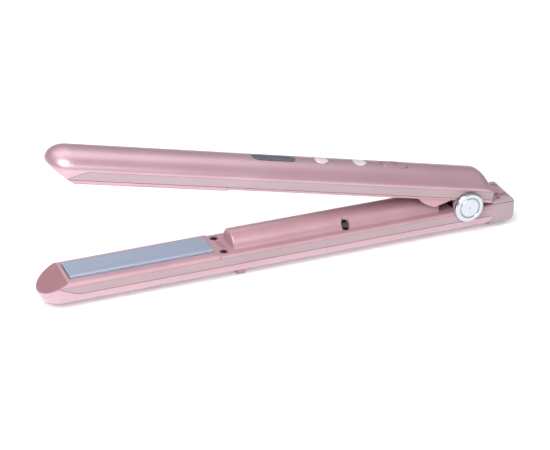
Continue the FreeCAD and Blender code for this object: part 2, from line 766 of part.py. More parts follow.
def hinge_caps():
    """The spun metal discs on both ends of the pin: a flat rim, a ring groove and a dished middle."""
    profile = [
        ("0", "cap_inner_y"), ("cap_radius - 0.5", "cap_inner_y"),
        ("cap_radius", "cap_inner_y + 0.5"), ("cap_radius", "cap_face_y - 0.7"),
        ("cap_radius - 0.7", "cap_face_y"), ("cap_radius * 0.72", "cap_face_y"),
        ("cap_radius * 0.69", "cap_face_y - 0.45"), ("cap_radius * 0.64", "cap_face_y - 0.45"),
        ("cap_radius * 0.61", "cap_face_y - 0.1"), ("0", "cap_face_y - 0.25"),
    ]
    for side, towards in (("left", 1), ("right", -1)):
        cap = turned("hinge_cap_" + side, profile, along_y(*HINGE, towards))
        sub_part(cap, cap.Name)


def hinge_washers():
    """A thin washer between ear and knuckle on each side."""
    profile = ring("pin_radius + pin_clearance", "5.2", "knuckle_outer_y + 0.1", "ear_inner_y - 0.1")
    for side, towards in (("left", 1), ("right", -1)):
        washer = turned("hinge_washer_" + side, profile, along_y(*HINGE, towards))
        sub_part(washer, washer.Name)


def torsion_spring():
    """The opening spring around the pin: close turns joined by a tie, with one leg to each arm."""
    wire_radius = 0.5
    turns = 8
    pitch = 1.08
    mean_radius = value("pin_radius") + 1.3
    centre = FreeCAD.Vector(value("hinge_x"), 0, value("hinge_z"))
    axis = FreeCAD.Vector(0, 1, 0)
    half_span = (turns - 1) * pitch / 2
    pieces = [
        Part.makeTorus(mean_radius, wire_radius, centre + axis * (index * pitch - half_span), axis)
        for index in range(turns)
    ]
    tie_start = centre + FreeCAD.Vector(mean_radius, -half_span, 0)
    pieces.append(Part.makeCylinder(wire_radius * 0.8, 2 * half_span, tie_start, axis))
    leg_length = 6.5
    for sign in (-1, 1):
        foot = centre + FreeCAD.Vector(0, sign * half_span, -mean_radius)
        pieces.append(Part.makeCylinder(wire_radius * 0.9, leg_length, foot, FreeCAD.Vector(-1, 0, 0.02)))
    coil = pieces[0].multiFuse(pieces[1:])
    feature = DOC.addObject("Part::Feature", "torsion_spring")
    feature.Shape = coil
    sub_part(feature, "torsion_spring")


# ---------------------------------------------------------------- lower handle

def screw_wells(name, places, z_top):
    """The wells of the cover screws at the given places."""
    wells = []
    for index, (x, y) in enumerate(places):
        wells.append(rod("%s_well_%d" % (name, index), "z", "screw_well_radius",
                         ("deck_face_z - 1.2", z_top), (x, y)))
        wells.append(rod("%s_hole_%d" % (name, index), "z", "screw_shank_radius + 0.1",
                         ("tray_seam_z - 2", z_top), (x, y)))
    return wells


UPPER_SCREW_COUNT = 2


def screw_places():
    """The cover screws as pairs of x and y rules."""
    places = [("screw_front_x", "screw_front_y"), ("screw_front_x", "-screw_front_y")]
    places += [("screw_side_x", "screw_side_y"), ("screw_side_x", "-screw_side_y")]
    return places


def rounded_deck(name, deck):
    """A deck with its two long inner edges rounded."""
    deck_z = value("deck_face_z")
    half_width = value("arm_half_width")

    def rim(edge):
        middle = edge.CenterOfMass
        long_edge = edge.BoundBox.XLength > 5
        return long_edge and abs(middle.z - deck_z) < 0.05 and abs(abs(middle.y) - half_width) < 0.05

    return rounded(name + "_rounded", deck, "rim_radius", rim)


def valley_strip(side, start_y, end_y):
    """The concave strip that blends the battery hump into the deck."""
    x_span = ("hump_front_x + 0.9", "hump_rear_x - 0.9")
    top = "deck_face_z + valley_radius"
    strip = box("valley_" + side, x_span, (start_y, end_y), ("deck_face_z - 0.2", top))
    axis_y = end_y if side == "left" else start_y
    scoop = rod("valley_scoop_" + side, "x", "valley_radius", x_span, (axis_y, top))
    return cut("valley_strip_" + side, strip, scoop)


def handle_inner_cover():
    """The inner cover of the lower handle: a deck with the round battery hump on it."""
    deck_x = ("tray_end_x + tray_joint", "hinge_x - hinge_room")
    deck = slab("deck", deck_x, "arm_half_width", ("tray_seam_z", "deck_face_z"))
    hump_x = ("hump_front_x", "hump_rear_x")
    hump_log = rod("hump_log", "x", "battery_hump_radius", hump_x, ("0", "hump_axis_z"))
    hump_half = common("hump_half", hump_log, between("hump_range", hump_x, ("hump_axis_z", "reach")))
    ends = (value("hump_front_x"), value("hump_rear_x"))
    axis_z = value("hump_axis_z")

    def hump_end(edge):
        box_now = edge.BoundBox
        at_end = min(abs(box_now.XMax - ends[0]), abs(box_now.XMin - ends[1])) < 0.05
        return at_end and box_now.XLength < 0.05 and box_now.ZMax > axis_z + 4

    hump = rounded("hump", hump_half, "0.9", hump_end)
    valleys = [valley_strip(side, inner, outer) for side, inner, outer in (
        ("left", "battery_hump_radius - 0.4", "battery_hump_radius + valley_radius"),
        ("right", "-battery_hump_radius - valley_radius", "-battery_hump_radius + 0.4"))]
    soft = fuse("handle_cover_solid", [rounded_deck("deck", deck), hump] + valleys)
    hollow = rod("hump_hollow", "x", "battery_hump_radius - wall",
                 ("hump_front_x + wall", "hump_rear_x - wall"), ("0", "hump_axis_z"))
    ear_room = ear_pair("deck_ear_room", "ear_inner_y - 0.01", "reach", "ear_radius + 0.02")
    whole = cut("handle_cover", soft, hollow, *ear_room, *screw_wells("handle", screw_places(), "reach"))
    sub_part(whole, "handle_inner_cover")


def lower_tail_cover():
    """The short deck behind the hinge, open where the lock bar comes down."""
    deck = slab("tail_deck", ("hinge_x + hinge_room", "block_front_x"), "arm_half_width",
                ("tray_seam_z", "deck_face_z"))
    lock_room = slab("deck_lock_room", ("lock_bar_x - 3", "lock_bar_x + 2"), "6.2", ("0", "reach"))
    ear_room = ear_pair("tail_ear_room", "ear_inner_y - 0.01", "reach", "ear_radius + 0.02")
    sub_part(cut("tail_cover", rounded_deck("tail", deck), lock_room, *ear_room), "lower_tail_cover")


def cover_screws(names, upper):
    """Pan-head screws in the wells."""
    profile = [
        ("0", "0"), ("screw_head_radius", "0"), ("screw_head_radius", "0.7"),
        ("screw_head_radius - 0.4", "1.1"), ("0.7", "1.1"), ("0.7", "0.6"), ("0", "0.6"),
    ]
    shank = [("0", "-3.4"), ("screw_shank_radius", "-3.4"), ("screw_shank_radius", "0")]
    full = shank + profile[1:]
    for label, (x, y) in zip(names, screw_places()):
        screw = turned(label, full, along_z(x, y, "deck_face_z - 1.2"))
        sub_part(screw, label, upper)


def battery_cells():
    """Two lithium cells end to end under the hump."""
    profile = [
        ("0", "0"), ("cell_radius - 0.4", "0"), ("cell_radius", "0.4"),
        ("cell_radius", "cell_length - 1"), ("cell_radius - 0.5", "cell_length - 0.5"),
        ("2.8", "cell_length - 0.5"), ("2.8", "cell_length"), ("0", "cell_length"),
    ]
    for place, start in (("front", "front_cell_x"), ("rear", "rear_cell_x")):
        cell = turned("battery_cell_" + place, profile, along_x(start, "0", "cell_axis_z"))
        sub_part(cell, cell.Name)


def battery_strip():
    """The nickel strip between the two cells, folded as a U."""
    body = new_body("battery_strip")
    start = "front_cell_x + cell_length"
    section = [
        (start, "cell_axis_z - 5"), ("rear_cell_x", "cell_axis_z - 5"), ("rear_cell_x", "cell_axis_z + 3"),
        ("rear_cell_x - 0.4", "cell_axis_z + 3"), ("rear_cell_x - 0.4", "cell_axis_z - 4.6"),
        (start + " + 0.4", "cell_axis_z - 4.6"), (start + " + 0.4", "cell_axis_z + 3"),
        (start, "cell_axis_z + 3"),
    ]
    pad(body, outline(body, "XZ_Plane", section), "5", midplane=True)
    sub_part(body, "battery_strip")


def battery_cradle():
    """The moulded cradle that carries the cells."""
    cradle_x = ("front_cell_x - 1.5", "rear_cell_x + cell_length + 1.5")
    block = slab("cradle_block", cradle_x, "8.6", ("4.6", "cell_axis_z - 0.5"))
    room = rod("cradle_room", "x", "cell_radius + 0.15",
               ("front_cell_x - 0.05", "rear_cell_x + cell_length + 0.05"),
               ("0", "cell_axis_z"))
    trim = common("cradle_trim", block, rod("cradle_round", "x", "9.4", cradle_x, ("0", "cell_axis_z")))
    sub_part(cut("cradle", trim, room), "battery_cradle")


def charge_board():
    """The charging circuit board ahead of the end block."""
    body = new_body("charge_board")
    corners = oblong(("lower_end_x - 26", "block_front_x + 6.3"), ("-8", "8"))
    pad(body, outline(body, "XY_Plane", corners, "8.2"), "board_thickness")
    sub_part(body, "charge_board")


def charge_socket():
    """The metal shell of the charging socket, open to the rear."""
    body = new_body("charge_socket")

    def centred(half_width, half_height):
        return oblong(("-(%s)" % half_width, half_width),
                      ("socket_z - (%s)" % half_height, "socket_z + " + half_height))

    shell_start = "tail_x - socket_length - socket_inset"
    outer = centred("socket_half_width", "socket_half_height")
    pad(body, outline(body, "YZ_Plane", outer, shell_start), "socket_length")
    half_length = value("socket_length") / 2
    edge_round(body, "Fillet", "socket_round", lambda edge: edge.BoundBox.XLength > half_length)
    inner = centred("socket_half_width - socket_wall", "socket_half_height - socket_wall")
    pocket(body, outline(body, "YZ_Plane", inner, shell_start + " + 2 * socket_wall"), "socket_length")
    tongue = centred("socket_half_width - 3 * socket_wall", "socket_wall * 0.75")
    pad(body, outline(body, "YZ_Plane", tongue, shell_start + " + socket_wall"), "socket_tongue_length")
    sub_part(body, "charge_socket")


def rear_end_block():
    """The raised end block with the lock recess on top and the charging inlet behind."""
    body = new_body("rear_end_block")
    sides = ("-block_half_width", "block_half_width")
    outer = oblong(sides, ("block_bottom_z", "block_top_z"))
    pad(body, outline(body, "YZ_Plane", outer, "block_front_x"), "tail_x - block_front_x")
    front = value("block_front_x")
    rear = value("tail_x")
    bottom = value("block_bottom_z")
    top = value("block_top_z")

    def keel(edge):
        along = edge.BoundBox.XMax > front + 0.1 and edge.BoundBox.XMin < rear - 0.1
        return along and edge.BoundBox.ZMax < bottom + 0.1

    def rear_and_top(edge):
        behind = edge.BoundBox.XMin > rear - 0.1
        return behind or (edge.BoundBox.XMax > front + 0.1 and edge.BoundBox.ZMin > top - 0.1)

    edge_round(body, "Fillet", "block_keel_round", keel)
    edge_round(body, "Fillet", "block_round", rear_and_top)
    inner = [
        ("-block_half_width + block_wall", "tray_seam_z"),
        ("-block_half_width + block_wall", "block_bottom_z + block_wall + block_inner_slant"),
        ("-block_half_width + block_wall + block_inner_slant", "block_bottom_z + block_wall"),
        ("block_half_width - block_wall - block_inner_slant", "block_bottom_z + block_wall"),
        ("block_half_width - block_wall", "block_bottom_z + block_wall + block_inner_slant"),
        ("block_half_width - block_wall", "tray_seam_z"),
    ]
    pocket(body, outline(body, "YZ_Plane", inner, "block_front_x - 1"),
           "tail_x - block_front_x + 1 - block_wall")
    recess = oblong(("recess_front_x", "recess_rear_x"), ("-recess_half_width", "recess_half_width"))
    pocket(body, outline(body, "XY_Plane", recess, "block_top_z - recess_depth"), "5")
    mouth = oblong(("-4.7", "4.7"), ("9.0", "12.6"))
    pocket(body, outline(body, "YZ_Plane", mouth, "tail_x - block_wall - 1"), "5")
    slot = oblong(("-lock_tongue_half_width - lock_play", "lock_tongue_half_width + lock_play"),
                  ("block_top_z - recess_depth", "block_top_z + 3"))
    pocket(body, outline(body, "YZ_Plane", slot, "block_front_x - 1"),
           "recess_front_x - block_front_x + 2")
    sub_part(body, "rear_end_block")


def lock_slider():
    """The thumb slider in the recess, with a tongue that reaches under the lock bar."""
    body = new_body("lock_slider")
    rear = "recess_rear_x - lock_play"
    low = "block_top_z - recess_depth + lock_play / 2"
    top = "lock_tongue_z + lock_tongue_thickness"
    pad_start = rear + " - lock_pad_length"
    pad_corners = oblong((pad_start, rear), ("-lock_pad_half_width", "lock_pad_half_width"))
    pad(body, outline(body, "XY_Plane", pad_corners, low), "%s - (%s)" % (top, low))
    tongue_x = ("block_front_x - lock_tongue_overhang", rear)
    tongue = oblong(tongue_x, ("-lock_tongue_half_width", "lock_tongue_half_width"))
    pad(body, outline(body, "XY_Plane", tongue, "lock_tongue_z"), "lock_tongue_thickness")
    ridge_half_width = "lock_pad_half_width - lock_ridge_width"
    for index in range(3):
        ridge_x = "%s + lock_ridge_width + %d * lock_ridge_pitch" % (pad_start, index)
        ridge_y = ("-(%s)" % ridge_half_width, ridge_half_width)
        ridge = oblong((ridge_x, ridge_x + " + lock_ridge_width"), ridge_y)
        pad(body, outline(body, "XY_Plane", ridge, top), "lock_ridge_height")
    sub_part(body, "lock_slider")


def front_rest_foot():
    """The small foot bar under the handle that carries the front of the iron."""
    bar = slab("foot_bar", ("foot_x - foot_half_length", "foot_x + foot_half_length"), "foot_half_width",
               ("0", "seam_z"))
    foot = cut("front_foot", bar, LOWER.outside_low)
    sub_part(foot, "front_rest_foot")


def rear_rubber_foot():
    """The round rubber foot under the hinge."""
    post = rod("rear_foot_post", "z", "rear_foot_radius", ("0", "seam_z"), ("rear_foot_x", "0"))
    sub_part(cut("rear_foot", post, LOWER.outside_low), "rear_rubber_foot")


def lower_wire():
    """The heater lead beside the cells."""
    lead = turned("lower_wire", drum("0.8", "0", "lower_end_x - 26 - tray_end_x - 3"),
                  along_x("tray_end_x + 3", "10.2", "9.4"))
    sub_part(lead, "lower_wire")


# ---------------------------------------------------------------- upper handle

def upper_inner_cover():
    """The inner cover of the upper handle: a deck with a channel that clears the battery hump."""
    deck_x = ("tray_end_x + tray_joint", "hinge_x - knuckle_radius - 2.8")
    deck = slab("upper_deck", deck_x, "arm_half_width", ("tray_seam_z", "deck_face_z"))
    channel_x = ("hump_front_x - 1.6", deck_x[1])
    trough = slab("upper_trough", ("hump_front_x - 2.8", deck_x[1]), "channel_half_width + 1",
                  ("channel_floor_z - 1", "tray_seam_z"))
    soft = fuse("upper_cover_solid", [rounded_deck("upper_deck", deck), trough])
    room = slab("upper_channel_room", channel_x, "channel_half_width", ("channel_floor_z", "reach"))
    wells = screw_wells("upper", screw_places()[:UPPER_SCREW_COUNT], "reach")
    open_cover = cut("upper_cover_open_channel", soft, room, *wells)
    fins = [guide_fin(side, inner, outer) for side, inner, outer in (
        ("left", "fin_inner_y", "fin_outer_y"), ("right", "-fin_outer_y", "-fin_inner_y"))]
    sub_part(fuse("upper_cover", [open_cover] + fins), "upper_inner_cover", upper=True)


def guide_fin(side, start_y, end_y):
    """A thin curved fin beside the channel that keeps the arms in line."""
    foot = "deck_face_z - 0.6"
    low = "2 * hinge_z - deck_face_z - 0.45"
    fin = DOC.addObject("Part::Feature", "guide_fin_" + side)
    y = value(start_y)
    front = FreeCAD.Vector(value("fin_front_x"), y, value(foot))
    lowest = FreeCAD.Vector(value("fin_low_x"), y, value(low))
    rear = FreeCAD.Vector(value("fin_rear_x"), y, value(foot))
    middle = FreeCAD.Vector((front.x + lowest.x) / 2, y, value(low) - 1.4)
    front_arc = Part.Arc(front, middle, lowest).toShape()
    rear_line = Part.LineSegment(lowest, rear).toShape()
    foot_line = Part.LineSegment(rear, front).toShape()
    face = Part.Face(Part.Wire([front_arc, rear_line, foot_line]))
    fin.Shape = face.extrude(FreeCAD.Vector(0, value(end_y) - y, 0))
    return fin


def upper_hinge_yoke():
    """The yoke at the rear of the upper arm: base, two knuckles and the lugs of the lock bar."""
    base_x = ("hinge_x - knuckle_radius - 2.6", "upper_end_x")
    base = slab("yoke_base", base_x, "arm_half_width", ("tray_seam_z", "deck_face_z"))
    inner_block = slab("yoke_block", ("hinge_x - 5", "hinge_x + 5"), "knuckle_outer_y",
                       ("tray_seam_z - 3.5", "deck_face_z"))
    discs = ear_pair("knuckle", "knuckle_inner_y", "knuckle_outer_y", "knuckle_radius")
    lugs = [
        box("lock_lug_" + side,
            ("lock_bar_x - lock_lug_half_length", "lock_bar_x + lock_lug_half_length"), y_span,
            ("deck_face_z - 0.5", "2 * hinge_z - lock_bar_z + 1.2"))
        for side, y_span in (("left", ("3.8", "5")), ("right", ("-5", "-3.8")))
    ]
    whole = fuse("yoke_whole", [base, inner_block] + discs + lugs)
    bore = rod("yoke_bore", "y", "pin_radius + pin_clearance", ("-reach", "reach"), HINGE)
    spring_room = rod("yoke_spring_room", "y", "5", ("-knuckle_inner_y", "knuckle_inner_y"), HINGE)
    bar_bore = rod("yoke_bar_bore", "y", "lock_bar_radius", ("-reach", "reach"),
                   ("lock_bar_x", "2 * hinge_z - lock_bar_z"))
    notches = ear_pair("yoke_notch", "knuckle_outer_y", "reach", "ear_radius + ear_clearance")
    tongue_room = slab("yoke_tongue_room", ("lock_bar_x - 2.4", "upper_end_x + 1"),
                       "lock_tongue_half_width + 0.7", ("tray_seam_z - 1", "reach"))
    yoke = cut("yoke", whole, bore, spring_room, bar_bore, tongue_room, *notches)
    sub_part(yoke, "upper_hinge_yoke", upper=True)


def lock_bar():
    """The steel bar that the lock tongue holds."""
    place = along_y("lock_bar_x", "2 * hinge_z - lock_bar_z")
    bar = turned("lock_bar", drum("lock_bar_radius", "-5", "5"), place)
    sub_part(bar, "lock_bar", upper=True)


THROUGH_COVER = ("-reach", "seam_z - 2")


def control_openings():
    """What the display window and the buttons take out of the upper outer cover."""
    holes = [slot_prism("display_opening", "display_x", "display_half_length", "display_half_width",
                        THROUGH_COVER)]
    for label, x in (("minus", "minus_x"), ("plus", "plus_x")):
        radius = "round_button_radius + button_gap"
        holes.append(rod(label + "_opening", "z", radius, THROUGH_COVER, (x, "0")))
    holes.append(slot_prism("power_opening", "power_x", "power_half_length + button_gap",
                            "power_half_width + button_gap", THROUGH_COVER))
    return holes


def display_window():
    """The tinted window, flush with the round cover."""
    back = arm_low("window_back", "window_depth", "upper_end_x")
    skin = cut("window_skin", UPPER.outside_low, back)
    shape = slot_prism("window_shape", "display_x", "display_half_length", "display_half_width",
                       THROUGH_COVER)
    sub_part(common("window", skin, shape), "display_window", upper=True)


def display_module():
    """The segment display behind the window."""
    body = new_body("display_module")
    corners = oblong(("display_x - 11", "display_x + 11"), ("-3.6", "3.6"))
    pad(body, outline(body, "XY_Plane", corners, "3.6"), "board_z - 3.6")
    sub_part(body, "display_module", upper=True)


def control_board():
    """The control circuit board, with its mounting holes."""
    body = new_body("control_board")
    corners = oblong(("display_x - 16", "power_x + 14"), ("-9", "9"))
    pad(body, outline(body, "XY_Plane", corners, "board_z"), "board_thickness")
    holes = [("display_x - 13.5", "0", "1.1"), ("power_x + 11.5", "0", "1.1")]
    pocket(body, circles(body, "XY_Plane", holes, "board_z - 1"), "4")
    sub_part(body, "control_board", upper=True)


def push_switches():
    """A push switch under each button."""
    for label, x in (("minus", "minus_x"), ("plus", "plus_x"), ("power", "power_x")):
        body = new_body(label + "_switch")
        pad(body, outline(body, "XY_Plane", oblong((x + " - 1.6", x + " + 1.6"), ("-1.6", "1.6")),
                          "board_z - switch_height"), "switch_height")
        sub_part(body, body.Name, upper=True)


def button(label, shape, x):
    """A button cap that follows the round cover, with a stem towards its switch."""
    raised = arm_low(label + "_raised", "-button_rise", "upper_end_x")
    back = arm_low(label + "_back", "wall", "upper_end_x")
    cap = common(label + "_cap", cut(label + "_skin", raised, back), shape)
    stem_z = ("shell_bottom + wall - 0.6", "board_z - switch_height - 0.75")
    stem = rod(label + "_stem", "z", "1.2", stem_z, (x, "0"))
    sub_part(fuse(label + "_cap_and_stem", [cap, stem]), label, upper=True)


def buttons():
    """The minus, plus and power buttons."""
    for label, x in (("minus_button", "minus_x"), ("plus_button", "plus_x")):
        button(label, rod(label + "_shape", "z", "round_button_radius", THROUGH_COVER, (x, "0")), x)
    shape = slot_prism("power_button_shape", "power_x", "power_half_length", "power_half_width",
                       THROUGH_COVER)
    button("power_button", shape, "power_x")


def upper_wire():
    """The heater lead of the upper arm."""
    lead = turned("upper_wire", drum("0.8", "0", "hinge_x - 17 - tray_end_x"),
                  along_x("tray_end_x + 3", "0", "9.4"))
    sub_part(lead, "upper_wire", upper=True)


# ---------------------------------------------------------------- assembly

LOWER = Arm("lower", "lower_end_x", "lower_end_x + 1")
UPPER = Arm("upper", "upper_end_x", "upper_end_x - wall")

shared_pieces(LOWER)
outer_cover(LOWER, [])
lower_side_frame(LOWER)
handle_inner_cover()
lower_tail_cover()
cover_screws(["handle_screw_front_left", "handle_screw_front_right",
              "handle_screw_side_left", "handle_screw_side_right"], upper=False)
hinge_pin()
hinge_caps()
hinge_washers()
torsion_spring()
battery_cells()
battery_strip()
battery_cradle()
charge_board()
charge_socket()
rear_end_block()
lock_slider()
front_rest_foot()
rear_rubber_foot()
lower_wire()

shared_pieces(UPPER)
outer_cover(UPPER, control_openings())
upper_side_frame(UPPER)
upper_inner_cover()
upper_hinge_yoke()
lock_bar()
cover_screws(["upper_screw_left", "upper_screw_right"], upper=True)
display_window()
display_module()
control_board()
push_switches()
buttons()
upper_wire()

DOC.recompute()


def turn_over():
    """The placement that lays the upper arm's drawing on the lower arm, arms closed."""
    hinge_height = value("hinge_z")
    half_turn = FreeCAD.Rotation(FreeCAD.Vector(1, 0, 0), 180)
    return FreeCAD.Placement(FreeCAD.Vector(0, 0, 2 * hinge_height), half_turn)


def swing_open():
    """The placement that swings the upper arm open about the hinge axis."""
    hinge = FreeCAD.Vector(value("hinge_x"), 0, value("hinge_z"))
    swing = FreeCAD.Rotation(FreeCAD.Vector(0, 1, 0), value("opening_angle"))
    return FreeCAD.Placement(FreeCAD.Vector(), swing, hinge)


upper_placement = swing_open().multiply(turn_over())
for piece in UPPER_SUB_PARTS:
    piece.Placement = upper_placement.multiply(piece.Placement)
DOC.recompute()

for thing in DOC.Objects:
    if {"Invalid", "Error"} & set(thing.State):
        raise RuntimeError("%s did not compute: %s" % (thing.Name, thing.State))
for piece in SUB_PARTS:
    if piece.Shape.isNull() or not piece.Shape.isValid():
        raise RuntimeError("%s has no valid shape" % piece.Label)

os.makedirs("parts", exist_ok=True)
for piece in SUB_PARTS:
    piece.Shape.exportStep("parts/%s.step" % piece.Label)
    solids = len(piece.Shape.Solids)
    print("%-28s solids %d  volume %9.1f mm3" % (piece.Label, solids, piece.Shape.Volume))
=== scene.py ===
import json
import math

import bmesh
import bpy
from mathutils import Matrix, Vector


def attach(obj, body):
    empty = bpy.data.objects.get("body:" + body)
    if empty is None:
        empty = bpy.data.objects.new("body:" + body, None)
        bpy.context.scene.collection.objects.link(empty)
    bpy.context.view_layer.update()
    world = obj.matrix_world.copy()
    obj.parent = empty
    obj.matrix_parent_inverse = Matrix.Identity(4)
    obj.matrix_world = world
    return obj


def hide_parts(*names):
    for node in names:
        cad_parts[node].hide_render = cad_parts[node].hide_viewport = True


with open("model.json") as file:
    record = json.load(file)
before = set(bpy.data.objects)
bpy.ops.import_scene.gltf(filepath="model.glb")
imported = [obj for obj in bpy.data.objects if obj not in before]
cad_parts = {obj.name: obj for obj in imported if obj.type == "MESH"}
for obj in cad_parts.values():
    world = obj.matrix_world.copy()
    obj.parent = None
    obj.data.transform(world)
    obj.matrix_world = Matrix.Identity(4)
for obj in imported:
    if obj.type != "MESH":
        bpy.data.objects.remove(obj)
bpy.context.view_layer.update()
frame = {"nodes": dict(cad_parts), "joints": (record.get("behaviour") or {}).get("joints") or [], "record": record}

# A cordless flat iron.  Lengths are in metres in the part's own frame: +Z up, the lower arm lies
# along X with its tip towards -X.  Both arms are drawn lying as the lower arm does, outer side
# down; raise_to_upper() turns a finished piece over about the hinge plane and swings it open.

MM = 0.001

# The arms' outside.
TIP_X = -144.0 * MM
ARM_HALF_WIDTH = 13.5 * MM
SHELL_BOTTOM = 1.5 * MM
SEAM_Z = 10.2 * MM
COVER_DEPTH = SEAM_Z - SHELL_BOTTOM
NOSE_LENGTH = 12.5 * MM
NOSE_X = TIP_X + NOSE_LENGTH
WALL = 1.3 * MM
LOWER_END_X = 129.2 * MM
UPPER_END_X = 128.3 * MM

# The rounded tail of the upper arm.
TAIL_LENGTH = 10.2 * MM
TAIL_HEIGHT = 12.0 * MM

# The inner side of the arms, and the slanted tip face with its insert.
TRAY_SEAM_Z = 15.5 * MM
TRAY_FACE_Z = 17.9 * MM
DECK_FACE_Z = 17.2 * MM
SLANT_TOP_X = -129.4 * MM
TRAY_END_X = -41.0 * MM
TRAY_ROUND = 1.0 * MM
SLANT_ANGLE = math.radians(27.8)
INSERT_DEPTH = 1.5 * MM
TIP_RIM = 0.8 * MM

# The edge of a cover, where it leaves the seam and climbs over the nose.
NOSE_SPLIT_X = -124.0 * MM
NOSE_SPLIT_ANGLE = math.radians(23.9)
NOSE_SPLIT_BLEND = 3.0 * MM

# Joint lines, dark with painted seam shade, and the end block.
SEAM_WIDTH = 0.34 * MM
SEAM_INSET = 0.07 * MM
LINE_RISE = 0.03 * MM
BLOCK_LINE_Z = 17.5 * MM
LOCK_FLOOR_Z = 17.74 * MM
PADLOCK_X = 136.5 * MM
OPEN_PADLOCK_Y = 6.8 * MM
CLOSED_PADLOCK_Y = -6.6 * MM

# The display and the buttons; a HALF is a half length and a half width.
DISPLAY_X = -11.5 * MM
DISPLAY_HALF = (13.5 * MM, 4.2 * MM)
MINUS_X = 18.3 * MM
PLUS_X = 42.7 * MM
ROUND_BUTTON_RADIUS = 4.0 * MM
POWER_X = 65.3 * MM
POWER_HALF = (8.4 * MM, 4.2 * MM)
BUTTON_GAP = 0.25 * MM
BUTTON_RISE = 0.35 * MM

# The hinge.
HINGE = next(joint for joint in frame["joints"] if joint["name"] == "arm_hinge")
HINGE_POINT = Vector(HINGE["pos_m"])
OPEN_ANGLE = math.radians(13.2)

# How finely round shapes are divided, and how near two points count as one.
ARC_STEPS = 56
NOSE_STEPS = 24
ROD_STEPS = 40
TAIL_STEPS = 16
BLEND_STEPS = 10
SLOT_STEPS = 24
MERGE = 1e-7
NEAR = 1e-6
THINNEST = 0.02 * MM
EDGE_SOFTNESS = 0.22 * MM
REACH = 400 * MM


# ---------------------------------------------------------------- mesh helpers

def finished(bm, name):
    """The piece made of a bmesh, in the scene, at the origin."""
    mesh = bpy.data.meshes.new(name)
    bm.to_mesh(mesh)
    bm.free()
    piece = bpy.data.objects.new(name, mesh)
    bpy.context.collection.objects.link(piece)
    return piece


def bake_modifiers(piece):
    """Apply every modifier of the piece to its mesh."""
    bpy.context.view_layer.update()
    evaluated = piece.evaluated_get(bpy.context.evaluated_depsgraph_get())
    mesh = bpy.data.meshes.new_from_object(evaluated)
    piece.modifiers.clear()
    piece.data = mesh
    mesh.name = piece.name
    return piece


def smooth(piece, angle):
    """Shade smooth, with sharp edges past the angle."""
    piece.data.shade_smooth()
    bm = bmesh.new()
    bm.from_mesh(piece.data)
    limit = math.radians(angle)
    for edge in bm.edges:
        edge.smooth = len(edge.link_faces) == 2 and edge.calc_face_angle(0.0) < limit
    bm.to_mesh(piece.data)
    bm.free()
    return piece


def bevel_sharp(piece, width, angle):
    """Round the piece's edges that are sharper than the angle and bake the result."""
    modifier = piece.modifiers.new("soft edges", "BEVEL")
    modifier.width = width
    modifier.segments = 2
    modifier.limit_method = "ANGLE"
    modifier.angle_limit = math.radians(angle)
    return bake_modifiers(piece)


def combine(piece, tools, operation):
    """Cut the piece with the tools, or keep what it shares with them, then throw the tools away."""
    for tool in tools:
        modifier = piece.modifiers.new("cut", "BOOLEAN")
        modifier.operation = operation
        modifier.solver = "EXACT"
        modifier.object = tool
    bake_modifiers(piece)
    for tool in tools:
        bpy.data.objects.remove(tool)


def extruded(bm, geom):
    """Extrude a face or edges in place: the new points and the new edges."""
    if isinstance(geom[0], bmesh.types.BMFace):
        grown = bmesh.ops.extrude_face_region(bm, geom=geom)["geom"]
    else:
        grown = bmesh.ops.extrude_edge_only(bm, edges=geom)["geom"]
    verts = [item for item in grown if isinstance(item, bmesh.types.BMVert)]
    edges = [item for item in grown if isinstance(item, bmesh.types.BMEdge)]
    return verts, edges


def add_block(bm, size, place, turned_by=0.0):
    """Add a block of a size to a bmesh, turned about the upright and put in its place."""
    made = bmesh.ops.create_cube(bm, size=1.0)["verts"]
    bmesh.ops.scale(bm, verts=made, vec=size)
    bmesh.ops.rotate(bm, verts=made, cent=(0, 0, 0), matrix=Matrix.Rotation(turned_by, 3, "Z"))
    bmesh.ops.translate(bm, verts=made, vec=place)


def raise_to_upper(piece):
    """Turn a piece drawn like the lower arm over to the upper arm, and swing it open."""
    to_hinge = Matrix.Translation(HINGE_POINT)
    swing = Matrix.Rotation(OPEN_ANGLE, 4, "Y")
    turn_over = Matrix.Rotation(math.pi, 4, "X")
    piece.data.transform(to_hinge @ swing @ turn_over @ to_hinge.inverted())
    piece.data.update()


def slot_block(half_length, half_width, middle_x, z_low, z_high):
    """An upright block with round ends."""
    bm = bmesh.new()
    flat = half_length - half_width
    for side in (1, -1):
        end_x = middle_x + side * flat
        start = bm.verts.new((end_x, -side * half_width, z_low))
        bmesh.ops.spin(bm, geom=[start], cent=(end_x, 0, z_low), axis=(0, 0, 1), angle=math.pi,
                       steps=SLOT_STEPS)
    bmesh.ops.remove_doubles(bm, verts=bm.verts, dist=MERGE)
    ends = [vert for vert in bm.verts if len(vert.link_edges) < 2]
    for side in (-1, 1):
        bm.edges.new([vert for vert in ends if vert.co.y * side > 0])
    outline = bmesh.ops.contextual_create(bm, geom=bm.edges)["faces"]
    top = extruded(bm, outline)[0]
    bmesh.ops.translate(bm, verts=top, vec=(0, 0, z_high - z_low))
    bmesh.ops.recalc_face_normals(bm, faces=bm.faces)
    return finished(bm, "slot tool")


def round_block(radius, middle_x, z_low, z_high):
    """An upright round block."""
    bm = bmesh.new()
    bmesh.ops.create_cone(bm, cap_ends=True, segments=2 * SLOT_STEPS, radius1=radius, radius2=radius,
                          depth=z_high - z_low)
    bmesh.ops.translate(bm, verts=bm.verts, vec=(middle_x, 0, (z_low + z_high) / 2))
    return finished(bm, "round tool")


# ---------------------------------------------------------------- materials

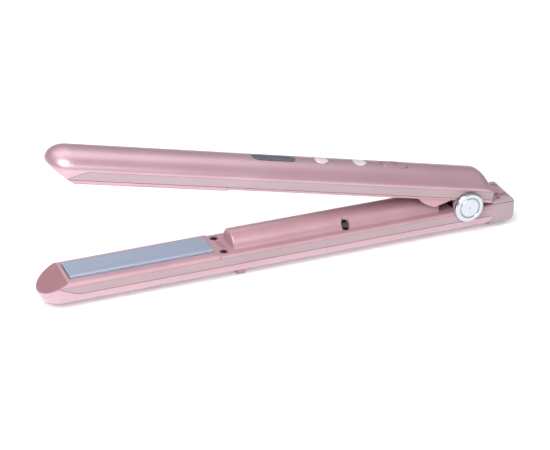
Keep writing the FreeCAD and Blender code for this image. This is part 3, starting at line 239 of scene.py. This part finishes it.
def new_material(name, colour, roughness, metallic=0.0):
    """A Principled material and the handles that the finishes build on."""
    material = bpy.data.materials.new(name)
    material.use_nodes = True
    nodes = material.node_tree.nodes
    shader = nodes["Principled BSDF"]
    shader.inputs["Base Color"].default_value = (*colour, 1)
    shader.inputs["Roughness"].default_value = roughness
    shader.inputs["Metallic"].default_value = metallic
    return material, nodes, material.node_tree.links, shader


def object_noise(nodes, links, scale, detail=4.0, stretch=(1, 1, 1)):
    """A noise on Object coordinates, in cycles per metre."""
    place = nodes.new("ShaderNodeTexCoord")
    mapping = nodes.new("ShaderNodeMapping")
    mapping.inputs["Scale"].default_value = stretch
    noise = nodes.new("ShaderNodeTexNoise")
    noise.inputs["Scale"].default_value = scale
    noise.inputs["Detail"].default_value = detail
    links.new(place.outputs["Object"], mapping.inputs["Vector"])
    links.new(mapping.outputs["Vector"], noise.inputs["Vector"])
    return noise


def vary_colour(nodes, links, shader, noise, dark, light):
    """Let the base colour drift between two near colours."""
    ramp = nodes.new("ShaderNodeValToRGB")
    ramp.color_ramp.elements[0].position = 0.35
    ramp.color_ramp.elements[0].color = (*dark, 1)
    ramp.color_ramp.elements[1].position = 0.65
    ramp.color_ramp.elements[1].color = (*light, 1)
    links.new(noise.outputs["Fac"], ramp.inputs["Fac"])
    links.new(ramp.outputs["Color"], shader.inputs["Base Color"])


def vary_roughness(nodes, links, shader, noise, low, high):
    """Let the roughness drift between two values."""
    spread = nodes.new("ShaderNodeMapRange")
    spread.inputs["To Min"].default_value = low
    spread.inputs["To Max"].default_value = high
    links.new(noise.outputs["Fac"], spread.inputs["Value"])
    links.new(spread.outputs["Result"], shader.inputs["Roughness"])


def add_bump(nodes, links, shader, height, distance):
    """Drive the normal from a height."""
    bump = nodes.new("ShaderNodeBump")
    bump.inputs["Distance"].default_value = distance
    links.new(height, bump.inputs["Height"])
    links.new(bump.outputs["Normal"], shader.inputs["Normal"])


def shade(r, g, b):
    """A colour given in 0-255 as a painter mixes it, in the renderer's own linear values."""
    def linear(level):
        level = level / 255
        return level / 12.92 if level <= 0.04045 else ((level + 0.055) / 1.055) ** 2.4
    return (linear(r), linear(g), linear(b))


def satin_lacquer():
    """Rose pearl lacquer of the round covers: satin, with a very fine flow texture."""
    material, nodes, links, shader = new_material(
        "rose pearl satin lacquer", shade(182, 143, 154), 0.40, 0.5)
    shader.inputs["Coat Weight"].default_value = 1.0
    shader.inputs["Coat IOR"].default_value = 2.1
    shader.inputs["Coat Roughness"].default_value = 0.34
    drift = object_noise(nodes, links, 26.0, 3.0)
    vary_colour(nodes, links, shader, drift, shade(179, 140, 152), shade(185, 147, 158))
    grain = object_noise(nodes, links, 5200.0, 2.0)
    vary_roughness(nodes, links, shader, grain, 0.32, 0.41)
    add_bump(nodes, links, shader, grain.outputs["Fac"], 0.0000035)
    return material


def deep_satin():
    """The darker satin of the slanted tip faces."""
    material, nodes, links, shader = new_material(
        "deep rose satin", shade(172, 128, 134), 0.40, 0.5)
    drift = object_noise(nodes, links, 40.0, 3.0)
    vary_colour(nodes, links, shader, drift, shade(169, 124, 131), shade(176, 133, 139))
    grain = object_noise(nodes, links, 5600.0, 2.0)
    vary_roughness(nodes, links, shader, grain, 0.36, 0.46)
    add_bump(nodes, links, shader, grain.outputs["Fac"], 0.000004)
    return material


def matte_band():
    """The side band: a slightly greyer, finer matte rose plastic."""
    material, nodes, links, shader = new_material(
        "rose matte band", shade(166, 148, 151), 0.5, 0.15)
    drift = object_noise(nodes, links, 60.0, 3.0, (0.3, 1, 1))
    vary_colour(nodes, links, shader, drift, shade(163, 145, 148), shade(169, 151, 154))
    grain = object_noise(nodes, links, 7000.0, 2.0)
    vary_roughness(nodes, links, shader, grain, 0.44, 0.56)
    add_bump(nodes, links, shader, grain.outputs["Fac"], 0.000004)
    return material


def inner_plastic():
    """The heat-resistant rose plastic of the trays and inner covers, a little glossier."""
    material, nodes, links, shader = new_material(
        "rose moulded plastic", shade(186, 152, 158), 0.34, 0.35)
    drift = object_noise(nodes, links, 45.0, 3.0)
    vary_colour(nodes, links, shader, drift, shade(183, 148, 155), shade(190, 156, 162))
    grain = object_noise(nodes, links, 6000.0, 2.0)
    vary_roughness(nodes, links, shader, grain, 0.30, 0.39)
    add_bump(nodes, links, shader, grain.outputs["Fac"], 0.000003)
    return material


def ceramic_plate():
    """The polished blue-grey ceramic coating, with faint lengthwise polishing marks."""
    material, nodes, links, shader = new_material(
        "blue-grey ceramic coating", shade(158, 171, 190), 0.26, 0.35)
    polish = object_noise(nodes, links, 700.0, 5.0, (0.06, 1, 1))
    vary_colour(nodes, links, shader, polish, shade(156, 169, 188), shade(161, 174, 192))
    vary_roughness(nodes, links, shader, polish, 0.23, 0.29)
    add_bump(nodes, links, shader, polish.outputs["Fac"], 0.0000006)
    return material


def dot_display():
    """The smoked display window: a grid of pale lit dots under dark glass."""
    material, nodes, links, shader = new_material("smoked dot display", shade(52, 56, 64), 0.14)
    place = nodes.new("ShaderNodeTexCoord")
    turn = nodes.new("ShaderNodeMapping")
    turn.inputs["Rotation"].default_value = (0, -OPEN_ANGLE, 0)
    dots = nodes.new("ShaderNodeTexVoronoi")
    dots.feature = "F1"
    dots.inputs["Scale"].default_value = 900.0
    dots.inputs["Randomness"].default_value = 0.15
    edge = nodes.new("ShaderNodeValToRGB")
    edge.color_ramp.elements[0].position = 0.14
    edge.color_ramp.elements[0].color = (*shade(178, 188, 198), 1)
    edge.color_ramp.elements[1].position = 0.30
    edge.color_ramp.elements[1].color = (*shade(50, 54, 62), 1)
    links.new(place.outputs["Object"], turn.inputs["Vector"])
    links.new(turn.outputs["Vector"], dots.inputs["Vector"])
    links.new(dots.outputs["Distance"], edge.inputs["Fac"])
    links.new(edge.outputs["Color"], shader.inputs["Base Color"])
    dust = object_noise(nodes, links, 2600.0, 3.0)
    vary_roughness(nodes, links, shader, dust, 0.10, 0.18)
    return material


def turned_steel(name, colour, roughness):
    """Bright steel with faint scratches."""
    material, nodes, links, shader = new_material(name, colour, roughness, 1.0)
    scratches = object_noise(nodes, links, 2500.0, 6.0)
    vary_roughness(nodes, links, shader, scratches, roughness * 0.8, roughness * 1.3)
    add_bump(nodes, links, shader, scratches.outputs["Fac"], 0.0000015)
    return material


def spun_cap():
    """The spun face of the hinge caps: fine rings about the hinge axis."""
    material, nodes, links, shader = new_material(
        "spun silver cap", shade(200, 207, 212), 0.26, 1.0)
    place = nodes.new("ShaderNodeTexCoord")
    centre = nodes.new("ShaderNodeMapping")
    centre.inputs["Location"].default_value = (-HINGE_POINT.x, 0, -HINGE_POINT.z)
    rings = nodes.new("ShaderNodeTexWave")
    rings.wave_type = "RINGS"
    rings.rings_direction = "Y"
    rings.inputs["Scale"].default_value = 1500.0
    rings.inputs["Distortion"].default_value = 0.6
    rings.inputs["Detail"].default_value = 2.0
    links.new(place.outputs["Object"], centre.inputs["Vector"])
    links.new(centre.outputs["Vector"], rings.inputs["Vector"])
    vary_roughness(nodes, links, shader, rings, 0.20, 0.32)
    add_bump(nodes, links, shader, rings.outputs["Fac"], 0.000004)
    return material


def plain_finish(name, colour, roughness, grain_scale=3000.0, depth=0.000004, metallic=0.0):
    """A moulded or cast finish with fine grain and a little colour drift."""
    material, nodes, links, shader = new_material(name, colour, roughness, metallic)
    drift = object_noise(nodes, links, grain_scale / 20, 3.0)
    darker = tuple(level * 0.93 for level in colour)
    lighter = tuple(min(1, level * 1.07) for level in colour)
    vary_colour(nodes, links, shader, drift, darker, lighter)
    grain = object_noise(nodes, links, grain_scale, 3.0)
    vary_roughness(nodes, links, shader, grain, roughness * 0.85, min(1, roughness * 1.15))
    add_bump(nodes, links, shader, grain.outputs["Fac"], depth)
    return material


FINISHES = {
    "rose_satin_cover": satin_lacquer(),
    "rose_matte_band": matte_band(),
    "rose_heat_resistant": inner_plastic(),
    "ceramic_coating": ceramic_plate(),
    "alumina": plain_finish("white alumina", shade(232, 230, 222), 0.55),
    "spring_steel": turned_steel("spring steel", shade(188, 188, 190), 0.30),
    "polished_steel": spun_cap(),
    "silicone": plain_finish("orange silicone", shade(205, 104, 74), 0.6),
    "dark_rubber": plain_finish("dark rubber", shade(42, 42, 44), 0.75, 1800.0, 0.00001),
    "silver_button": plain_finish("silver lacquer", shade(228, 221, 223), 0.32, 4000.0, 0.000002, 0.35),
    "smoked_window": dot_display(),
    "display_glass": plain_finish("dark display", shade(36, 38, 44), 0.2),
    "circuit_board": plain_finish("green solder mask", shade(22, 92, 54), 0.4),
    "switch_plastic": plain_finish("black switch plastic", shade(34, 34, 36), 0.5),
    "cell_can": plain_finish("grey shrink sleeve", shade(92, 78, 80), 0.4),
    "nickel_strip": turned_steel("nickel strip", shade(200, 196, 186), 0.35),
    "cradle_plastic": plain_finish("black cradle plastic", shade(40, 40, 42), 0.6),
    "washer_plastic": plain_finish("white acetal", shade(230, 230, 226), 0.45),
    "wire_jacket": plain_finish("red wire jacket", shade(176, 34, 34), 0.5),
    "fuse_can": turned_steel("fuse can", shade(214, 214, 210), 0.3),
    "black_screw": turned_steel("blackened screw", shade(70, 60, 62), 0.42),
    "tip_face": deep_satin(),
    # Thin dark sheets in the joints: painted shade standing in for the shadow in the gaps between parts.
    "seam_shadow": plain_finish("painted seam shade", shade(96, 62, 72), 0.7),
    # The ribs are coloured darker than the deck: painted shade along them.
    "rib_shadow": plain_finish("painted rib shade", shade(134, 98, 106), 0.5),
    # A dark grey steel for the cap grooves: painted shade and dark reflection in the groove.
    "groove_shadow": turned_steel("painted groove shade", shade(128, 132, 142), 0.35),
    "print_ink": plain_finish("grey print", shade(92, 74, 82), 0.55),
}
FINISHES["rose_button"] = FINISHES["rose_satin_cover"]


def dress(piece, finish):
    """Give a piece one finish."""
    piece.data.materials.clear()
    piece.data.materials.append(FINISHES[finish])


def dress_cad_nodes():
    """Give every CAD node the finish of its slot in the record."""
    for entry in frame["record"]["subparts"]:
        name = entry["node"]
        finish = entry["material_slot"]
        if "screw" in name:
            finish = "black_screw"
        elif name.endswith("tip_insert"):
            finish = "tip_face"
        elif name == "rear_end_block":
            finish = "rose_matte_band"
        dress(frame["nodes"][name], finish)


# ---------------------------------------------------------------- covers

def hull_depth_at(x, inset, round_tail):
    """How deep an arm is below its seam at x: less and less over a rounded tail."""
    depth = COVER_DEPTH - inset
    start = UPPER_END_X - TAIL_LENGTH
    if not round_tail or x <= start:
        return depth
    part = min((x - start) / (TAIL_LENGTH - inset), 1.0)
    lowest = SHELL_BOTTOM + inset + (TAIL_HEIGHT - inset) * (1 - math.sqrt(1 - part * part))
    return max(SEAM_Z - lowest, THINNEST)


def hull_stations(inset, end_x, round_tail):
    """Where the straight part of an arm has its rings, closer together over a rounded tail."""
    straight_end = UPPER_END_X - TAIL_LENGTH if round_tail else end_x
    step = (straight_end - NOSE_X) / ROD_STEPS
    stations = [NOSE_X + step * index for index in range(ROD_STEPS + 1)]
    if round_tail:
        turn = math.acos(1 - (COVER_DEPTH - inset) / (TAIL_HEIGHT - inset))
        length = TAIL_LENGTH - inset
        stations += [straight_end + length * math.sin(turn * index / TAIL_STEPS)
                     for index in range(1, TAIL_STEPS + 1)]
    return stations


def hull(inset, end_x, round_tail):
    """A whole arm moved inwards by the inset, closed: quarter ball, half rod and upright walls."""
    half_width = ARM_HALF_WIDTH - inset
    bm = bmesh.new()
    add_nose(bm, half_width, (NOSE_LENGTH - inset) / half_width, (COVER_DEPTH - inset) / half_width)
    edges = [edge for edge in bm.edges if len(edge.link_faces) == 1
             and all(abs(vert.co.x - NOSE_X) < MERGE for vert in edge.verts)]
    to_seam = Matrix.Translation((0, 0, -SEAM_Z))
    stations = hull_stations(inset, end_x, round_tail)
    for before, after in zip(stations, stations[1:]):
        verts, edges = extruded(bm, edges)
        bmesh.ops.translate(bm, verts=verts, vec=(after - before, 0, 0))
        shrink = hull_depth_at(after, inset, round_tail) / hull_depth_at(before, inset, round_tail)
        bmesh.ops.scale(bm, verts=verts, space=to_seam, vec=(1, 1, shrink))
    add_walls(bm)
    bmesh.ops.recalc_face_normals(bm, faces=bm.faces)
    return bm


def add_nose(bm, half_width, length_scale, depth_scale):
    """The quarter ball at the tip, stretched to the nose's length and depth, below the seam."""
    first = bm.verts.new((0, half_width, 0))
    bmesh.ops.spin(bm, geom=[first], cent=(0, 0, 0), axis=(1, 0, 0), angle=-math.pi, steps=ARC_STEPS)
    bmesh.ops.spin(bm, geom=bm.verts[:] + bm.edges[:], cent=(0, 0, 0), axis=(0, 1, 0),
                   angle=math.pi / 2, steps=NOSE_STEPS)
    bmesh.ops.remove_doubles(bm, verts=bm.verts, dist=MERGE)
    bmesh.ops.scale(bm, verts=bm.verts, vec=(length_scale, 1, depth_scale))
    bmesh.ops.translate(bm, verts=bm.verts, vec=(NOSE_X, 0, SEAM_Z))


def add_walls(bm):
    """Raise the open edge at the seam to the inner face, then close the lid and the rear end."""
    seam = [edge for edge in bm.edges if len(edge.link_faces) == 1
            and all(abs(vert.co.z - SEAM_Z) < MERGE for vert in edge.verts)]
    top = extruded(bm, seam)[0]
    bmesh.ops.translate(bm, verts=top, vec=(0, 0, TRAY_FACE_Z - SEAM_Z))
    bmesh.ops.remove_doubles(bm, verts=bm.verts, dist=MERGE)
    end = max(vert.co.x for vert in bm.verts)
    at_top = TRAY_FACE_Z - NEAR
    bm.edges.new([vert for vert in bm.verts if vert.co.x > end - NEAR and vert.co.z > at_top])
    rim = [edge for edge in bm.edges if not edge.is_manifold]
    lid = [edge for edge in rim if all(vert.co.z > at_top for vert in edge.verts)]
    rear = [edge for edge in rim if all(vert.co.x > end - NEAR for vert in edge.verts)]
    bmesh.ops.contextual_create(bm, geom=lid)
    bmesh.ops.contextual_create(bm, geom=rear)


def trim(bm, point, normal):
    """Cut away all that lies on the normal's side of a plane."""
    bmesh.ops.bisect_plane(bm, geom=bm.verts[:] + bm.edges[:] + bm.faces[:], dist=1e-8,
                           plane_co=point, plane_no=normal, clear_outer=True)


def slice_off(bm, point, normal):
    """Cut away all that lies on the normal's side of a plane, and close the cut."""
    trim(bm, point, normal)
    bmesh.ops.holes_fill(bm, edges=bm.edges, sides=0)
    bmesh.ops.recalc_face_normals(bm, faces=bm.faces)


def slant_plane(depth):
    """A point and the outward normal of the slanted tip face, moved inwards by the depth."""
    normal = Vector((-math.sin(SLANT_ANGLE), 0, math.cos(SLANT_ANGLE)))
    return Vector((SLANT_TOP_X, 0, TRAY_FACE_Z)) - normal * depth, normal


def insert_seat(end_x, round_tail):
    """The room that the tip insert takes in the rim of the nose."""
    bm = hull(TIP_RIM, end_x, round_tail)
    slice_off(bm, (SLANT_TOP_X, 0, 0), (1, 0, 0))
    point, normal = slant_plane(INSERT_DEPTH)
    slice_off(bm, point, -normal)
    return finished(bm, "insert seat")


def climbing_profile(bm, y, height, length):
    """The line of a cover's edge seen from the side: level, an arc, then climbing over the nose."""
    level_end = NOSE_SPLIT_X + NOSE_SPLIT_BLEND
    radius = NOSE_SPLIT_BLEND / math.tan(NOSE_SPLIT_ANGLE / 2)
    tangent = bm.verts.new((level_end, y, height))
    bmesh.ops.spin(bm, geom=[tangent], cent=(level_end, y, height + radius), axis=(0, 1, 0),
                   angle=NOSE_SPLIT_ANGLE, steps=BLEND_STEPS)
    climbing = min(bm.verts, key=lambda vert: vert.co.x)
    direction = Vector((-math.cos(NOSE_SPLIT_ANGLE), 0, math.sin(NOSE_SPLIT_ANGLE)))
    far = bm.verts.new(climbing.co + direction * length)
    bm.edges.new((climbing, far))
    return tangent, far


def above_cover():
    """All that lies above a cover's edge: over the seam, and over the plane that climbs the nose."""
    bm = bmesh.new()
    tangent, far = climbing_profile(bm, -REACH, SEAM_Z, 60 * MM)
    corners = [tangent, bm.verts.new((REACH, -REACH, SEAM_Z)), bm.verts.new((REACH, -REACH, REACH)),
               bm.verts.new((far.co.x, -REACH, REACH)), far]
    for start, end in zip(corners, corners[1:]):
        bm.edges.new((start, end))
    bmesh.ops.remove_doubles(bm, verts=bm.verts, dist=MERGE)
    side = bmesh.ops.contextual_create(bm, geom=bm.edges)["faces"]
    other_side = extruded(bm, side)[0]
    bmesh.ops.translate(bm, verts=other_side, vec=(0, 2 * REACH, 0))
    bmesh.ops.recalc_face_normals(bm, faces=bm.faces)
    return finished(bm, "room above the cover")


def round_cover(name, end_x, round_tail, openings):
    """A finished cover: skin, wall thickness, openings and softened edges."""
    outside = hull(0, end_x, round_tail)
    slice_off(outside, *slant_plane(0))
    cover = finished(outside, name)
    inner_end = end_x - WALL if round_tail else end_x + 1 * MM
    inside = finished(hull(WALL, inner_end, round_tail), "inside")
    tools = [inside, above_cover(), insert_seat(end_x, round_tail)] + openings
    combine(cover, tools, "DIFFERENCE")
    bevel_sharp(cover, EDGE_SOFTNESS, 35)
    return smooth(cover, 30)


def lower_cover():
    """The lower arm's round cover."""
    cover = round_cover("lower_round_cover", LOWER_END_X, False, [])
    dress(cover, "rose_satin_cover")
    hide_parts("lower_outer_cover")
    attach(cover, "lower_arm")


def upper_cover():
    """The upper arm's round cover, open for the display and the buttons."""
    low = SHELL_BOTTOM - 4 * MM
    high = SEAM_Z - 3.5 * MM
    openings = [
        slot_block(*DISPLAY_HALF, DISPLAY_X, low, high),
        round_block(ROUND_BUTTON_RADIUS + BUTTON_GAP, MINUS_X, low, high),
        round_block(ROUND_BUTTON_RADIUS + BUTTON_GAP, PLUS_X, low, high),
        slot_block(POWER_HALF[0] + BUTTON_GAP, POWER_HALF[1] + BUTTON_GAP, POWER_X, low, high),
    ]
    cover = round_cover("upper_round_cover", UPPER_END_X, True, openings)
    raise_to_upper(cover)
    dress(cover, "rose_satin_cover")
    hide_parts("upper_outer_cover")
    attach(cover, "upper_arm")


# ---------------------------------------------------------------- seams and small details

def seam_sheet(climbs, height):
    """A thin sheet along a seam: level, or level and then climbing over the nose."""
    half_width = 20 * MM
    end = 200 * MM
    bm = bmesh.new()
    if climbs:
        level = climbing_profile(bm, -half_width, height, 40 * MM)[0]
    else:
        level = bm.verts.new((-end, -half_width, height))
    bm.edges.new((level, bm.verts.new((end, -half_width, height))))
    bmesh.ops.remove_doubles(bm, verts=bm.verts, dist=MERGE)
    verts = extruded(bm, bm.edges[:])[0]
    bmesh.ops.translate(bm, verts=verts, vec=(0, 2 * half_width, 0))
    bmesh.ops.recalc_face_normals(bm, faces=bm.faces)
    sheet = finished(bm, "sheet")
    wall = sheet.modifiers.new("thickness", "SOLIDIFY")
    wall.thickness = SEAM_WIDTH
    wall.offset = 0
    return bake_modifiers(sheet)


def shell_strip(name, outside, tool, depth, end_x):
    """What the tool takes out of the outermost layer of an arm."""
    strip = finished(outside, name)
    combine(strip, [tool], "INTERSECT")
    combine(strip, [finished(hull(depth, end_x, False), "inside")], "DIFFERENCE")
    return strip


def place_line(line, upper):
    """Give a joint line its painted seam shade and put it on its arm."""
    if upper:
        raise_to_upper(line)
    dress(line, "seam_shadow")
    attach(line, "upper_arm" if upper else "lower_arm")


def seam_shade_line(name, climbs, height, end_x, round_tail, upper):
    """A thin dark sheet round an arm along a seam, painted shade for the shadow in the joint, lying a hair under
    the covers' skin.
    """
    outside = hull(SEAM_INSET, end_x - 0.05 * MM, round_tail)
    slice_off(outside, *slant_plane(SEAM_INSET))
    shade_line = shell_strip(name, outside, seam_sheet(climbs, height), 0.9 * MM, end_x + 2 * MM)
    place_line(shade_line, upper)


def tray_end_line(name, upper):
    """The joint line on an arm's sides where its plate tray meets the handle's inner cover: a thin sheet dark with
    painted shade for the shadow in the joint.
    """
    top = TRAY_FACE_Z - TRAY_ROUND
    bm = bmesh.new()
    add_block(bm, (SEAM_WIDTH, 3 * ARM_HALF_WIDTH, top - TRAY_SEAM_Z),
              (TRAY_END_X, 0, (top + TRAY_SEAM_Z) / 2))
    outside = hull(-LINE_RISE, LOWER_END_X, False)
    line = shell_strip(name, outside, finished(bm, "slab"), 0.6 * MM, LOWER_END_X)
    place_line(line, upper)


def hinge_spring():
    """A real wound torsion spring about the hinge pin, with its two straight legs."""
    wire_radius = 0.45 * MM
    coil_radius = 3.6 * MM
    half_width = 3.6 * MM
    leg = 3 * MM
    turns = 6
    steps = 26 * turns
    bm = bmesh.new()
    bmesh.ops.create_circle(bm, segments=10, radius=wire_radius)
    bmesh.ops.translate(bm, verts=bm.verts, vec=HINGE_POINT + Vector((coil_radius, -half_width, 0)))
    ring = list(bm.edges)
    swept = bmesh.ops.spin(bm, geom=bm.verts[:] + ring, cent=HINGE_POINT, axis=(0, 1, 0),
                           dvec=(0, 2 * half_width / steps, 0), angle=2 * math.pi * turns, steps=steps)
    last = [item for item in swept["geom_last"] if isinstance(item, bmesh.types.BMEdge)]
    for end, drop in ((ring, -leg), (last, leg)):
        verts = extruded(bm, end)[0]
        bmesh.ops.translate(bm, verts=verts, vec=(0, 0, drop))
    bmesh.ops.holes_fill(bm, edges=bm.edges, sides=0)
    bmesh.ops.recalc_face_normals(bm, faces=bm.faces)
    if bm.calc_volume(signed=True) < 0:
        bmesh.ops.reverse_faces(bm, faces=bm.faces)
    spring = smooth(finished(bm, "wound_hinge_spring"), 50)
    dress(spring, "spring_steel")
    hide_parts("torsion_spring")
    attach(spring, "lower_arm")


def cap_groove_ring(name, side):
    """A thin ring in the turned groove of a hinge cap, painted dark as the shade and dark reflection in the
    groove.
    """
    inner, outer = 5.90 * MM, 6.16 * MM
    floor, face = 15.90 * MM, 16.00 * MM
    bm = bmesh.new()
    corners = [bm.verts.new(HINGE_POINT + Vector((radius, side * depth, 0)))
               for radius, depth in ((inner, floor), (outer, floor), (outer, face), (inner, face))]
    for start, end in zip(corners, corners[1:] + corners[:1]):
        bm.edges.new((start, end))
    bmesh.ops.spin(bm, geom=bm.verts[:] + bm.edges[:], cent=HINGE_POINT, axis=(0, 1, 0),
                   angle=2 * math.pi, steps=64, use_merge=True)
    bmesh.ops.remove_doubles(bm, verts=bm.verts, dist=MERGE)
    bmesh.ops.recalc_face_normals(bm, faces=bm.faces)
    ring = smooth(finished(bm, name), 35)
    dress(ring, "groove_shadow")
    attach(ring, "lower_arm")


def end_block_line():
    """The fine joint line just under the top of the end block, on its sides and its rear, dark with painted shade
    for the shadow in the joint.
    """
    side_wall_y = 12.2 * MM
    rear_wall_x = 143.2 * MM
    front_x = 129.3 * MM
    bm = bmesh.new()
    bm.from_mesh(frame["nodes"]["rear_end_block"].data)
    bmesh.ops.remove_doubles(bm, verts=bm.verts, dist=NEAR)
    for direction in (1, -1):
        height = BLOCK_LINE_Z + direction * SEAM_WIDTH / 2
        trim(bm, (0, 0, height), (0, 0, direction))
    hidden = []
    for face in bm.faces:
        middle = face.calc_center_median()
        inside = abs(middle.y) < side_wall_y and middle.x < rear_wall_x
        if inside or middle.x < front_x:
            hidden.append(face)
    bmesh.ops.delete(bm, geom=hidden, context="FACES")
    line = finished(bm, "end_block_line")
    wall = line.modifiers.new("thickness", "SOLIDIFY")
    wall.thickness = 2 * LINE_RISE
    wall.offset = 0
    bake_modifiers(line)
    place_line(line, False)


def cover_height_at(y):
    """The height of the round cover's skin at a distance from the middle plane, as drawn."""
    return SEAM_Z - COVER_DEPTH * math.sqrt(1 - (y / ARM_HALF_WIDTH) ** 2)


def printed_bar(bm, x, y, size, turned_by=0.0, lift=0.0):
    """One printed stroke on the top of the upper arm: a very thin plate."""
    add_block(bm, (*size, 0.05 * MM), (x, y, cover_height_at(y) - lift), turned_by)


def printed_marks():
    """Generic printed minus and plus signs beside their buttons."""
    length = 1.9 * MM
    width = 0.35 * MM
    beside = 7.2 * MM
    bm = bmesh.new()
    for button_x in (MINUS_X, PLUS_X):
        printed_bar(bm, button_x + beside, 0, (width, length))
    printed_bar(bm, PLUS_X + beside, 0, (length, width))
    marks = finished(bm, "plus_minus_marks")
    raise_to_upper(marks)
    dress(marks, "print_ink")
    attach(marks, "upper_arm")


def power_sign():
    """A generic power sign on the power button: an open ring of short strokes and a bar."""
    count = 14
    radius = 1.6 * MM
    bm = bmesh.new()
    for index in range(count):
        turn = math.radians(35 + 290 * index / (count - 1))
        printed_bar(bm, POWER_X + radius * math.cos(turn), radius * math.sin(turn),
                    (0.32 * MM, 0.75 * MM), turn, BUTTON_RISE)
    printed_bar(bm, POWER_X + 1.1 * MM, 0, (1.9 * MM, 0.34 * MM), 0, BUTTON_RISE)
    sign = finished(bm, "power_sign")
    raise_to_upper(sign)
    dress(sign, "print_ink")
    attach(sign, "power_key")


def deck_ribs():
    """The slanting ribs moulded between the two screw wells in front of the battery cover."""
    middle_x = -36.3 * MM
    first_y = -3.75 * MM
    pitch = 1.5 * MM
    size = (0.35 * MM, 4.6 * MM, 0.3 * MM)
    slant = math.radians(48)
    bm = bmesh.new()
    for index in range(6):
        add_block(bm, size, (middle_x, first_y + pitch * index, DECK_FACE_Z), slant)
    bmesh.ops.bevel(bm, geom=bm.edges[:], offset=0.07 * MM, offset_type="OFFSET", segments=2, profile=0.5,
                    affect="EDGES", material=-1)
    ribs = finished(bm, "deck_ribs")
    # Darker than the deck they stand on: painted shade along the ribs.
    dress(ribs, "rib_shadow")
    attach(ribs, "lower_arm")


def padlock_mark(name, y, shackle_shift):
    """A generic padlock sign on the floor of the lock recess, its shackle moved sideways if open."""
    thickness = 0.12 * MM
    shackle_radius = 0.62 * MM
    steps = 8
    bm = bmesh.new()
    add_block(bm, (1.5 * MM, 1.9 * MM, thickness), (PADLOCK_X, y, LOCK_FLOOR_Z))
    for index in range(steps + 1):
        turn = math.pi * index / steps
        stroke_x = PADLOCK_X - 0.8 * MM - shackle_radius * math.sin(turn)
        stroke_y = y + shackle_radius * math.cos(turn) + shackle_shift
        add_block(bm, (0.3 * MM, 0.34 * MM, thickness), (stroke_x, stroke_y, LOCK_FLOOR_Z))
    mark = finished(bm, name)
    dress(mark, "print_ink")
    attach(mark, "lower_arm")


# ---------------------------------------------------------------- studio

def pale_floor():
    """A plain pale floor."""
    bm = bmesh.new()
    bmesh.ops.create_grid(bm, x_segments=1, y_segments=1, size=3.0)
    floor = finished(bm, "floor")
    material, nodes, links, shader = new_material("pale floor", (0.86, 0.86, 0.86), 0.9)
    shader.inputs["Emission Color"].default_value = (1, 1, 1, 1)
    shader.inputs["Emission Strength"].default_value = 0.24
    floor.data.materials.append(material)


def studio_air():
    """Soft white light from above that fades towards the horizon."""
    world = bpy.data.worlds.new("studio")
    bpy.context.scene.world = world
    world.use_nodes = True
    nodes = world.node_tree.nodes
    links = world.node_tree.links
    backdrop = nodes["Background"]
    backdrop.inputs["Strength"].default_value = 0.52
    sweep = nodes.new("ShaderNodeTexCoord")
    part = nodes.new("ShaderNodeSeparateXYZ")
    ramp = nodes.new("ShaderNodeValToRGB")
    ramp.color_ramp.elements[0].position = 0.0
    ramp.color_ramp.elements[0].color = (0.34, 0.33, 0.34, 1)
    ramp.color_ramp.elements[1].position = 0.9
    ramp.color_ramp.elements[1].color = (1, 1, 1, 1)
    links.new(sweep.outputs["Generated"], part.inputs["Vector"])
    links.new(part.outputs["Z"], ramp.inputs["Fac"])
    links.new(ramp.outputs["Color"], backdrop.inputs["Color"])


def soft_box(name, place, target, size, power):
    """A rectangular area light that looks at a point."""
    data = bpy.data.lights.new(name, "AREA")
    data.shape = "RECTANGLE"
    data.size, data.size_y = size
    data.energy = power
    data.color = (1.0, 0.955, 0.995)
    light = bpy.data.objects.new(name, data)
    light.location = place
    direction = Vector(target) - Vector(place)
    light.rotation_euler = direction.to_track_quat("-Z", "Y").to_euler()
    bpy.context.collection.objects.link(light)


def camera():
    """The camera, from the front and a little above the left of the part."""
    target = Vector((-0.003, 0, 0.0232))
    distance = 1.132
    azimuth = math.radians(-21.56)
    elevation = math.radians(27.79)
    back = Vector((math.sin(azimuth) * math.cos(elevation), -math.cos(azimuth) * math.cos(elevation),
                   math.sin(elevation)))
    data = bpy.data.cameras.new("camera")
    data.lens = 130
    data.sensor_width = 36
    viewer = bpy.data.objects.new("camera", data)
    viewer.location = target + back * distance
    viewer.rotation_euler = back.to_track_quat("Z", "Y").to_euler()
    bpy.context.collection.objects.link(viewer)
    bpy.context.scene.camera = viewer


def studio():
    """Floor, soft lights and the camera."""
    pale_floor()
    studio_air()
    soft_box("main light", (-0.46, -0.50, 0.74), (-0.12, 0, 0.07), (0.50, 0.50), 11.0)
    soft_box("front light", (0.06, -0.66, 0.42), (-0.13, 0, 0.08), (0.30, 0.26), 0.9)
    soft_box("rear overhead light", (0.05, 0.45, 1.1), (0.0, 0.0, 0.03), (1.5, 0.8), 5.0)
    camera()
    bpy.context.scene.view_settings.view_transform = "Standard"


dress_cad_nodes()
lower_cover()
upper_cover()
seam_shade_line("lower_cover_seam", True, SEAM_Z, LOWER_END_X, False, False)
seam_shade_line("upper_cover_seam", True, SEAM_Z, UPPER_END_X, True, True)
seam_shade_line("lower_tray_seam", False, TRAY_SEAM_Z, LOWER_END_X, False, False)
seam_shade_line("upper_tray_seam", False, TRAY_SEAM_Z, UPPER_END_X, False, True)
tray_end_line("lower_tray_end_line", False)
tray_end_line("upper_tray_end_line", True)
hinge_spring()
cap_groove_ring("near_cap_ring", -1)
cap_groove_ring("far_cap_ring", 1)
end_block_line()
printed_marks()
power_sign()
deck_ribs()
padlock_mark("padlock_open_mark", OPEN_PADLOCK_Y, 0.9 * MM)
padlock_mark("padlock_closed_mark", CLOSED_PADLOCK_Y, 0)
studio()
